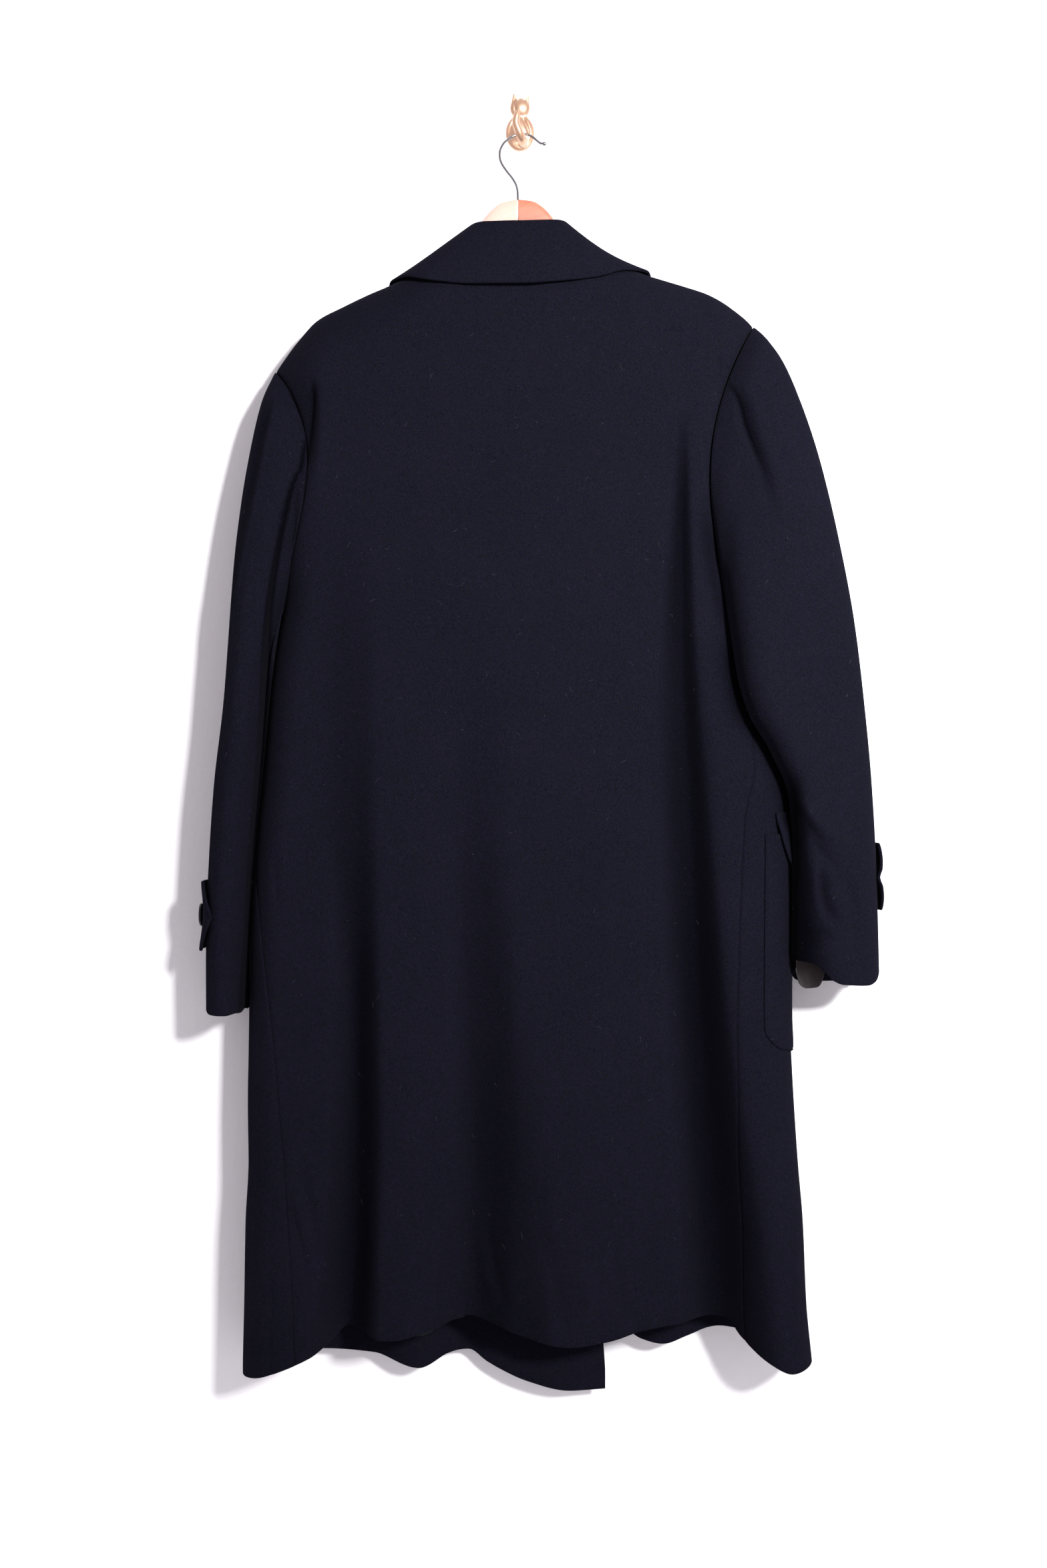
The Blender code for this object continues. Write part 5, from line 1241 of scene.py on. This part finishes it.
def onFront(side, column, drop):
    # Point and outward way of the front at a column and a drop, by straight reading between its own points.
    points, ways = fronts[side]
    low = np.clip(np.floor(column).astype(int), 0, points.shape[1] - 2)
    share = column - low
    levels = -(points[:, low, 2] * (1 - share) + points[:, low + 1, 2] * share)
    above = np.clip((levels <= drop[None]).sum(axis=0) - 1, 0, points.shape[0] - 2)
    upperLevel = np.take_along_axis(levels, above[None], axis=0)[0]
    lowerLevel = np.take_along_axis(levels, above[None] + 1, axis=0)[0]
    fall = ((drop - upperLevel) / (lowerLevel - upperLevel))[..., None]
    share = share[..., None]

    def mixed(grid):
        upper = grid[above, low] * (1 - share) + grid[above, low + 1] * share
        lower = grid[above + 1, low] * (1 - share) + grid[above + 1, low + 1] * share
        return upper * (1 - fall) + lower * fall

    return mixed(points), unit(mixed(ways))


def makePocket(side):
    # The front's own surface lifted by the pocket's wall, and again by the flap's.
    size = pockets[side]
    down = np.linspace(0, 1, pocket["rows"] + 1)[:, None]
    across = np.linspace(0, 1, pocket["columns"] + 1)[None, :]
    # Lower corners are quarter circles: the sides draw in by corner * (1 - sqrt(1 - t^2)) near the bottom.
    level = size["top"] + (size["bottom"] - size["top"]) * down
    t = np.clip((level - size["bottom"] + pocket["corner"]) / pocket["corner"], 0, 1)
    drawn = pocket["corner"] / wrapUnit * 1.25 * (1 - np.sqrt(np.clip(1 - t**2, 0, 1)))
    wrap = size["start"] + drawn + (size["end"] - size["start"] - 2 * drawn) * across
    drop = np.broadcast_to(level, wrap.shape)
    surface, out = onFront(side, frontColumn(side, wrap, drop), drop)
    toSides = np.minimum(across, 1 - across) * pocket["columns"]
    edge = np.minimum(toSides, (1 - down) * pocket["rows"] + 0 * across)
    settle = 0.9 * np.exp(-edge / 1.4)
    half = pocket["wall"] / 2
    points = surface + out * (halfCloth + pocket["gap"] + half - settle)[..., None]
    made = shell(f"coat_{side}_pocket", points, out, half, half, (1.0, 1.0, 1.0, 1.0), wool, "wool")
    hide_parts(f"{side}_pocket")

    down = np.linspace(0, 1, pocket["flapRows"] + 1)[:, None]
    level = size["flapTop"] + pocket["flapHeight"] * down
    corner = pocket["flapCorner"]
    t = np.clip(((down - 1) * pocket["flapHeight"] + corner) / corner, 0, 1)
    drawn = corner / wrapUnit * (1 - np.sqrt(np.clip(1 - t**2, 0, 1)))
    start = size["flapStart"] + size["flapSwing"] * down**2
    end = size["end"] + pocket["flapOver"]
    wrap = start + drawn + (end - start - 2 * drawn) * across
    drop = np.broadcast_to(level, wrap.shape)
    surface, out = onFront(side, frontColumn(side, wrap, drop), drop)
    overPocket = softStep(drop, size["top"] - 16, size["top"] - 2)
    free = np.clip(1 - across / 0.22, 0, 1)
    half = pocket["flapWall"] / 2
    lift = halfCloth + pocket["flapGap"] + half + overPocket * (pocket["wall"] + 0.4)
    points = surface + out * (lift + pocket["flapLift"] * free * down)[..., None]
    # A flap whose back edge faces the viewer gets painted shade beyond that edge.
    shade = 0.75 * softStep(across, 0.02, 0.05) * (1 - softStep(across, 0.3, 0.5))
    shade = shade * (wrap[:1, :1] < 0.4) + 0 * wrap
    made = shell(f"coat_{side}_flap", points, out, half, half, (1.4, 1.5, 1.5, 1.5), wool, "wool",
                 painted_shade=shade)
    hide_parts(f"{side}_flap")


# The lining starts so many rows above the underarm and stops so many columns short of the seam and the edge.
lining = {
    "rowsAbove": 26, "fromSeam": 8, "fromEdge": 17, "short": 32.0, "shorter": 34.0, "halfWall": 0.4,
    "gap": 0.9, "pleat": 2.2,
}


def makeLining(side):
    # The front's own surface moved inwards, down to a little above the hem.
    points = fronts[side][0]
    start, end = lining["fromSeam"], points.shape[1] - lining["fromEdge"]
    picked = points[len(armShares) - lining["rowsAbove"] :, start:end]
    total = -picked[-1, :, 2] + picked[0, :, 2]
    short = lining["short"] + lining["shorter"] * softStep(picked[-1, :, 0], -60, -30)
    keepShare = (total - short) / total
    level = -picked[0, :, 2] + total * np.linspace(0, 1, len(picked))[:, None] * keepShare
    column = np.broadcast_to(np.arange(start, end, dtype=float), level.shape)
    surface, out = onFront(side, column, level)
    # A pleat of ease hangs over the lining's lower edge.
    toEdge = level[-1:] - level
    pleat = lining["pleat"] * np.exp(-((toEdge - 7.0) / 5.5) ** 2)
    points = surface - out * (halfCloth + lining["gap"] + pleat)[..., None]
    half = lining["halfWall"]
    made = shell(f"coat_{side}_front_lining", points, out, half, half, (0.3, 0.3, 0.4, 0.3), darkSatin,
                 "lining")
    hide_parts(f"{side}_front_lining")


for side in ("left", "right"):
    makePocket(side)
makeLining("left")
makeLining("right")
print("pockets, flaps and lining made")


tabs = {
    "left": {"top": 786.0, "bottom": 853.0, "middle": 0.0, "reach": 64.0},
    "right": {"top": 748.0, "bottom": 814.0, "middle": -32.0, "reach": 54.0},
}
tab = {"wall": 3.2, "gap": 0.6, "lift": 3.2}
button = {
    "radius": 11.5, "height": 4.0, "holeRadius": 1.1, "holeApart": 2.4, "holeDepth": 1.6, "stand": 0.3,
    "twist": 0.3, "around": 56, "fromEdge": 28.0, "frontDrops": (545.0, 660.0, 775.0),
}
# The button's rim and dished face, as shares of its radius and height; the last height is the face's.
buttonProfile = np.array([
    (0.0, 0.0), (0.4, 0.0), (0.75, 0.02), (0.9, 0.14), (0.98, 0.36), (1.0, 0.55), (0.985, 0.78),
    (0.94, 0.93),
    (0.88, 1.0), (0.82, 0.98), (0.76, 0.88), (0.71, 0.76), (0.66, 0.70), (0.56, 0.67), (0.46, 0.66),
    (0.38, 0.655), (0.32, 0.655), (0.26, 0.655), (0.20, 0.655), (0.14, 0.655), (0.08, 0.655), (0.0, 0.655),
])


def cuffSurface(side, drop, turn):
    # A point on the sleeve's outer face near the cuff and the way out of it, from the ring's own formula.
    rows = np.array(sleeveRings[side])
    topX, underX, middleY, halfDepth = (np.interp(drop, rows[:, 1], rows[:, i]) for i in (0, 2, 4, 5))
    power = 2 / sleeve["squareness"]

    def at(angle):
        x = (topX + underX) / 2 + (topX - underX) / 2 * squared(np.cos(angle), power)
        y = middleY - halfDepth * squared(np.sin(angle), power)
        return np.stack([x, y, -np.broadcast_to(drop, x.shape)], axis=-1)

    run = at(turn + 0.02) - at(turn - 0.02)
    out = unit(np.stack([run[..., 1], -run[..., 0], 0 * run[..., 0]], axis=-1))
    return at(turn), out * np.sign(out[..., :1] * sideSign(side) + 1e-9)


def discAxes(way):
    # The way out of a disc and two ways across it.
    across = unit(np.cross(way, (0.0, 0.0, 1.0)))
    return way, across, np.cross(way, across)


def holeAngle(k):
    # Where one of the four holes lies round the button.
    return math.pi / 4 + k * math.pi / 2 + button["twist"]


def buttonMesh(base, way):
    # A disc turned about its way out; each hole is a dimple of depth * exp(-(distance / radius)^4).
    way, across, up = discAxes(unit(way))
    height = button["height"]
    angle = np.linspace(0, math.tau, button["around"], endpoint=False)
    reach, level = buttonProfile[1:-1, :1], buttonProfile[1:-1, 1:]
    r = reach * button["radius"]
    h = np.repeat(level * height, button["around"], axis=1)
    u, v = r * np.cos(angle), r * np.sin(angle)
    for k in range(4):
        hu, hv = (button["holeApart"] * turn(holeAngle(k)) for turn in (math.cos, math.sin))
        dent = np.exp(-((np.hypot(u - hu, v - hv) / button["holeRadius"]) ** 4))
        h = h - button["holeDepth"] * dent * (level > 0.6) * (reach < 0.5)
    rings = base + across * u[..., None] + up * v[..., None] + way * h[..., None]
    return closedRings(rings, [base, base + way * buttonProfile[-1, 1] * height])


def threadMesh(base, way):
    # Two crossing stitches that arch over the button's face between opposite holes.
    way, across, up = discAxes(unit(way))
    t = np.linspace(-1, 1, 13)[:, None]
    parts = []
    for k in range(2):
        spoke = across * math.cos(holeAngle(k)) + up * math.sin(holeAngle(k))
        lift = button["height"] * buttonProfile[-1, 1] + 0.75 * (1 - t**4) - 0.7 * t**4 + 0.35 * k
        path = base + spoke * t * button["holeApart"] + way * lift
        parts.append(tubeMesh(path, np.full(len(t), 0.42), 8))
    return joined(parts)


def sewButton(discName, threadName, node, base, way):
    # A button in place of its node, and the thread over it.
    made = makeObject(discName, *buttonMesh(base, way), buttonHorn, "button")
    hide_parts(node)
    makeObject(threadName, *threadMesh(base, way), wool, "wool")


def makeTab(side):
    # A tab with a pointed end: rows across its width, columns round the sleeve, lifting away at its edges.
    top, bottom = tabs[side]["top"], tabs[side]["bottom"]
    along = np.linspace(-1, 1, 61)
    half = tab["wall"] / 2
    middle = math.radians(tabs[side]["middle"])
    turn = middle + math.radians(tabs[side]["reach"]) * along
    taper = np.interp(along, (-1, 0.55, 1), (1, 1, 0.25))
    across = np.linspace(-1, 1, 31)[:, None]
    drop = (top + bottom) / 2 + across * (bottom - top) / 2 * taper[None, :]
    surface, out = cuffSurface(side, drop, np.broadcast_to(turn, drop.shape))
    far = np.sqrt(across**2 + (along[None, :] / 0.6) ** 2)
    lift = halfCloth + tab["gap"] + half + tab["lift"] * np.clip(far, 0, 1) ** 2 * np.abs(across)
    made = shell(f"coat_{side}_cuff_tab", surface + out * lift[..., None], out, half - 0.1, half - 0.1,
                 (1.4, 1.4, 1.4, 1.4), wool, "wool")
    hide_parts(f"{side}_cuff_tab")
    centre, way = cuffSurface(side, np.array([(top + bottom) / 2]), np.array([middle]))
    base = centre[0] + way[0] * (halfCloth + tab["gap"] * 2 + tab["wall"] + button["stand"])
    sewButton(f"{side}_cuff_disc", f"{side}_cuff_thread", f"{side}_cuff_button", base, way[0])


for side in ("left", "right"):
    makeTab(side)
for number, level in enumerate(button["frontDrops"], start=1):
    drop = np.array([level])
    wrap = 1 + frontSpan("right", drop) - button["fromEdge"] / wrapUnit
    surface, out = onFront("right", frontColumn("right", wrap, drop), drop)
    base = surface[0] + out[0] * (halfCloth + 2 * button["stand"])
    sewButton(f"front_disc_{number}", f"front_thread_{number}", f"front_button_{number}", base, out[0])
print("tabs and buttons made")


hanger = {"x": -2.6, "tilt": 0.0297, "squareness": 3.6, "around": 40, "stations": 96}
hangerTable = Table(
    "out top bottom halfThick",
    (0, 88.0, 130, 7), (15, 90.3, 132, 7), (26, 97.2, 137, 7), (35, 107.4, 145, 7),
    (45, 124.0, 157, 7), (57, 138.6, 169, 7), (69.5, 147.0, 178, 7), (97, 160.9, 191, 7),
    (130, 177.3, 206, 7.5), (150, 185.8, 214, 8), (180, 198.6, 226, 9), (205, 212.6, 238, 10),
    (212, 219.8, 238, 10),
)


def makeHangerHalf(side, material, slot):
    # Rounded sections stand at stations along the half; a small rounding closes each end.
    sign = sideSign(side)
    along = hanger["stations"]
    inset = 1.1 * (1 - np.sqrt(1 - np.linspace(1, 0, 7) ** 2))
    endTurn = np.linspace(0.2, 1.0, 8) * math.pi / 2
    stations = [0.2 + np.linspace(0, 1.1, 7), np.linspace(3, 204, along), 204 + 6 * np.sin(endTurn)]
    stations = np.concatenate(stations)[:, None]
    shrink = np.concatenate([inset * 0.5, np.zeros(along), 3.4 * (1 - np.cos(endTurn))])[:, None]
    angle = np.linspace(0, math.tau, hanger["around"], endpoint=False)
    u, v = (squared(turned, 2 / hanger["squareness"])[None, :] for turned in (np.cos(angle), np.sin(angle)))
    top, bottom, half = (hangerTable.read(name, stations) for name in ("top", "bottom", "halfThick"))
    taper = 3.0 * np.clip((stations - 190) / 20, 0, 1) ** 2
    y = ridgeY + u * (half - taper - shrink)
    drop = (top + bottom) / 2 - v * ((bottom - top) / 2 - shrink) - sign * hanger["tilt"] * stations
    x = hanger["x"] + sign * stations + 0 * y
    rings = np.stack([x, y, -drop], axis=2)
    vertices, faces = closedRings(rings, rings[[0, -1]].mean(axis=1))
    made = makeObject(f"hanger_{side}_arm", vertices, faces, material, slot)
    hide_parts(f"{side}_hanger_half")


makeHangerHalf("left", paleBeech, "pale_wood")
makeHangerHalf("right", redBeech, "dark_wood")

wire = {"radius": 1.3, "ball": 2.3, "topY": -17.0}
wireRoute = (
    (-2.8, 88), (-2.8, 82.6), (-3.3, 76.5), (-4.9, 70.5), (-8.6, 63.6), (-13.4, 57), (-18.2, 49.6),
    (-20.8, 43.6),
    (-21.7, 37.5), (-20.9, 31.4), (-17.7, 24.4), (-13, 19.7), (-7.6, 15.9), (-2.3, 13.9), (3.0, 13.2),
    (8.3, 14.4), (13.1, 17.1), (17.4, 21.4), (20.6, 23.9), (22.8, 24.3),
)


def makeWire():
    # The bend lies flat and leans back to the wall as it rises; a ball closes its free end.
    flat = smoothRoute(wireRoute, 10)
    topDrop = min(drop for _, drop in wireRoute)
    lean = (ridgeY - wire["topY"]) / (wireRoute[0][1] - topDrop)
    path = np.stack([flat[:, 0], wire["topY"] + lean * (flat[:, 1] - topDrop), -flat[:, 1]], axis=1)
    radii = np.full(len(path), wire["radius"])
    way = unit(path[-1] - path[-2])
    ball = path[-1] + way * wire["ball"] * 0.8
    angles = np.radians(np.linspace(-52, 88, 18))
    path = np.concatenate([path, ball + np.outer(np.sin(angles), way) * wire["ball"]])
    radii = np.concatenate([radii, wire["ball"] * np.cos(angles)])
    made = makeObject("hanger_wire_hook", *tubeMesh(path, radii, 24), chrome, "steel")
    made.visible_shadow = False
    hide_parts("hanger_wire")


makeWire()
print("hanger and wire made")


hook = {
    "thickness": 9.0, "edge": 1.8, "rim": 0.13, "dome": 3.4,
    "body": (-0.6, -8.8, 14.8, 18.5), "head": (-0.6, 17.3, 10.2), "neck": (6.8, 9.0),
    "rightEar": ((8.9, 23.2), (8.7, 30.6), (4.4, 25.4)), "crown": ((2.4, 27.1), (-0.3, 27.6), (-2.0, 26.9)),
    "leftEar": ((-3.4, 25.6), (-7.4, 33.2), (-9.4, 23.6)),
}
hookGrooves = (
    (1.3, 1.8, 0.3, 0.3, ((2.0, 10.0), (3.6, 4.0), (6.2, -2.0), (8.4, -8.0), (8.8, -15.0))),
    (1.5, 2.2, 0.3, 0.3, ((-3.0, 10.0), (-6.2, 4.0), (-9.4, -2.0), (-10.6, -8.0), (-10.4, -16.0))),
    (0.8, 1.6, 0.3, 0.3, ((-6.4, 21.5), (-5.4, 16.0), (-5.6, 11.0))),
)
tailTable = Table(
    "share x y z radius",
    (0.0, 2.4, -5.0, -20.6, 4.6), (0.22, 2.2, -15.0, -20.9, 4.6), (0.42, 0.6, -23.4, -18.0, 4.5),
    (0.6, -2.6, -27.0, -11.0, 4.3), (0.76, -4.8, -27.8, -4.0, 3.9), (0.9, -3.9, -28.2, 3.0, 3.3),
    (1.0, -1.6, -28.6, 8.4, 1.6),
)


def hookOutline():
    # A round body, a neck, a round head and two ears, then resampled evenly and softened at its corners.
    def arc(x, z, halfWidth, halfHeight, degrees):
        angles = np.radians(degrees)
        return np.stack([x + halfWidth * np.cos(angles), z + halfHeight * np.sin(angles)], axis=1)

    bx, bz, bw, bh = hook["body"]
    hx, hz, radius = hook["head"]
    parts = [
        arc(bx, bz, bw, bh, np.linspace(-90, 55, 40)), [(bx + hook["neck"][0], hook["neck"][1])],
        arc(hx, hz, radius, radius, np.linspace(-35, 12, 12)),
        hook["rightEar"], hook["crown"], hook["leftEar"],
        arc(hx, hz, radius, radius, np.linspace(168, 215, 12)), [(bx - hook["neck"][0], hook["neck"][1])],
        arc(bx, bz, bw, bh, np.linspace(125, 270, 40)[:-1]),
    ]
    line = np.concatenate([np.asarray(p, float) for p in parts])
    closed = np.concatenate([line, line[:1]])
    run = np.concatenate([[0], np.cumsum(np.linalg.norm(np.diff(closed, axis=0), axis=1))])
    at = np.linspace(0, run[-1], 360, endpoint=False)
    line = np.stack([np.interp(at, run, closed[:, 0]), np.interp(at, run, closed[:, 1])], axis=1)
    for _ in range(3):
        line = line * 0.5 + (np.roll(line, 1, axis=0) + np.roll(line, -1, axis=0)) * 0.25
    return line


def makeWallHook():
    # Rings shrink from the outline to a spine; the height rises round the edge, swells and has grooves.
    line = hookOutline()
    spine = np.stack([np.full(len(line), -0.5), np.clip(line[:, 1], -20.0, 17.0)], axis=1)
    rimShares = 1 - hook["rim"] * (1 - np.cos(np.linspace(0.1, 1, 12) * math.pi / 2))
    shares = np.concatenate([[1.0], rimShares, np.linspace(0.85, 0.0, 36)])
    ring = spine[None] + (line - spine)[None] * shares[:, None, None]
    x, z = ring[..., 0], ring[..., 1]
    s = shares[:, None]
    rim = np.clip((1 - s) / hook["rim"], 0, 1)
    low = hook["thickness"] - hook["dome"] - hook["edge"]
    rise = low + hook["edge"] * np.sqrt(np.clip(1 - (1 - rim) ** 2, 0, 1))
    # The swell is the greater of two domes, 1 - (distance / size)^2 over the body and the head, blended.
    bx, bz, bw, bh = hook["body"]
    hx, hz, radius = hook["head"]
    onBody = 1 - ((x - bx) / bw) ** 2 - ((z - bz) / bh) ** 2
    onHead = 0.9 - ((x - hx) / radius) ** 2 - ((z - hz) / radius) ** 2
    swell = np.log(np.exp(6 * onBody) + np.exp(6 * onHead)) / 6
    height = rise + hook["dome"] * np.clip(swell, 0, 1) * softStep(1 - s, 0.0, 0.3)
    bowl = np.exp(-(np.hypot((x + 0.6) / 9.0, (z + 19.0) / 4.5)) ** 2)
    height = height - creases(hookGrooves, x, z) - 1.6 * bowl
    front = np.stack([x, -height, z], axis=2)
    back = np.stack([line[:, 0], 0 * line[:, 0], line[:, 1]], axis=1)
    rings = np.concatenate([back[None], front])
    count, size = rings.shape[:2]
    vertices = np.concatenate([rings.reshape(-1, 3), [(-0.5, 0.0, -2.0)]])
    faces = [gridFaces(count, size, 0, True), fan(count * size, np.arange(size), True)]
    share = np.linspace(0, 1, 60)
    route = np.stack([tailTable.read(axis, share) for axis in ("x", "y", "z")], axis=1)
    radii = tailTable.read("radius", share)
    tipWay = unit(route[-1] - route[-2])
    capAngles = np.radians(np.linspace(12, 88, 8))
    route = np.concatenate([route, route[-1] + np.outer(np.sin(capAngles), tipWay) * 1.6])
    radii = np.concatenate([radii, 1.6 * np.cos(capAngles)])
    body = (vertices, np.concatenate(faces))
    made = makeObject("cat_wall_hook", *joined([body, tubeMesh(route, radii, 28)]), roseGold, "copper")
    made.visible_shadow = False
    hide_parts("wall_hook")


makeWallHook()
print("wall hook made")


lint = {"hairs": 170, "radius": 0.07, "least": 2.0, "most": 8.0}


def makeLint():
    # Thin curled hairs that lie on the cloth: each follows the surface under it with its own bend.
    parts = []
    grids = ((backPoints, backWays, 0.72), (*sleevePoints["right"], 0.16), (*sleevePoints["left"], 0.12))
    for points, ways, share in grids:
        rows, columns = points.shape[:2]
        for _ in range(int(lint["hairs"] * share)):
            i = rng.integers(int(rows * 0.12), rows - 12)
            j = rng.integers(12, int(columns * 0.94) - 12)
            angle = rng.uniform(0, math.tau)
            bend = rng.normal(0, 0.9)
            length = rng.uniform(lint["least"], lint["most"])
            t = np.linspace(-0.5, 0.5, 8)
            heading = angle + bend * t * 2 + rng.normal(0, 0.5) * np.sin(t * 9)
            right = unit(points[i, j + 1] - points[i, j])
            down = unit(points[i + 1, j] - points[i, j])
            du = np.cumsum(np.cos(heading)) * length / 8
            dv = np.cumsum(np.sin(heading)) * length / 8
            path = points[i, j] + right * du[:, None] + down * dv[:, None]
            path = path + ways[i, j] * (halfCloth + 0.35)
            parts.append(tubeMesh(path, np.full(8, lint["radius"]), 4))
    makeObject("lint_hairs", *joined(parts), lintFibre, "wool")


makeLint()
print("lint made")


room = {"side": 2.2, "wallY": 0.0012, "frontY": -3.4, "floor": -1.75, "top": 1.1}


def stagePlane(name, near, far, colour, roughness):
    # A plane between a near and a far edge, each given by its y and z.
    side = room["side"]
    corners = [(-side, *near), (side, *near), (side, *far), (-side, *far)]
    mesh = bpy.data.meshes.new(name)
    mesh.from_pydata(corners, [], [(0, 1, 2, 3)])
    mesh.update()
    made = bpy.data.objects.new(name, mesh)
    bpy.context.scene.collection.objects.link(made)
    material = bpy.data.materials.new(name)
    material.use_nodes = True
    n = Nodes(material.node_tree)
    shader = material.node_tree.nodes["Principled BSDF"]
    output = material.node_tree.nodes["Material Output"]
    place = n.add("ShaderNodeTexCoord").outputs["Object"]
    tone = n.ramp(n.noise(6, 4, 0.6, place), 0.3, 0.7)
    n.join(n.mix(tone, tuple(c * 0.985 for c in colour[:3]) + (1,), colour), shader.inputs["Base Color"])
    shader.inputs["Roughness"].default_value = roughness
    shader.inputs["Specular IOR Level"].default_value = 0.2
    relief = n.add("ShaderNodeBump")
    relief.inputs["Strength"].default_value = 0.30
    relief.inputs["Distance"].default_value = 0.001
    n.join(n.noise(210, 2, 0.5, place), relief.inputs["Height"])
    n.join(relief.outputs["Normal"], shader.inputs["Normal"])
    # Seen from behind, the plane is clear, so that views from the far side show the object.
    clear = n.add("ShaderNodeBsdfTransparent")
    which = n.add("ShaderNodeMixShader")
    n.join(n.add("ShaderNodeNewGeometry").outputs["Backfacing"], which.inputs["Fac"])
    n.join(shader.outputs["BSDF"], which.inputs[1])
    n.join(clear.outputs["BSDF"], which.inputs[2])
    n.join(which.outputs["Shader"], output.inputs["Surface"])
    mesh.materials.append(material)


corner = (room["wallY"], room["floor"])
stagePlane("plain_wall", corner, (room["wallY"], room["top"]), (0.93, 0.92, 0.935, 1), 0.9)
stagePlane("plain_floor", (room["frontY"], room["floor"]), corner, (0.82, 0.82, 0.83, 1), 0.7)

lights = {
    "key": {"aim": (0.60, -0.05, -0.70), "power": 23.0, "spread": 60.0},
    "top": {"aim": (0.42, -0.05, -0.16), "power": 8.0, "spread": 32.0},
}
lamp = {"place": (1.55, -3.90, 0.38), "size": 0.42}


def makeLight(name, place, size, aim, power, spread):
    # A square soft box that faces the coat; a small spread narrows its beam.
    data = bpy.data.lights.new(name, "AREA")
    data.shape = "SQUARE"
    data.size = size
    data.energy = power
    data.spread = math.radians(spread)
    made = bpy.data.objects.new(name, data)
    bpy.context.scene.collection.objects.link(made)
    made.location = place
    made.rotation_euler = (Vector(aim) - Vector(place)).to_track_quat("-Z", "Y").to_euler()


for name, values in lights.items():
    makeLight(name + "_light", **lamp, **values)
world = bpy.data.worlds.new("soft room")
bpy.context.scene.world = world
world.use_nodes = True
world.node_tree.nodes["Background"].inputs["Color"].default_value = (1.0, 0.935, 1.0, 1)
world.node_tree.nodes["Background"].inputs["Strength"].default_value = 0.70

cameraData = bpy.data.cameras.new("camera")
cameraData.lens = 55
cameraData.sensor_fit = "VERTICAL"
cameraData.sensor_height = 36
cameraData.clip_end = 50
camera = bpy.data.objects.new("camera", cameraData)
camera.location = (0.0031, -2.50, -0.687)
camera.rotation_euler = (math.pi / 2, 0, 0)
bpy.context.scene.collection.objects.link(camera)
bpy.context.scene.camera = camera
bpy.context.scene.view_settings.view_transform = "Standard"
bpy.context.scene.view_settings.look = "None"

print("scene ready")
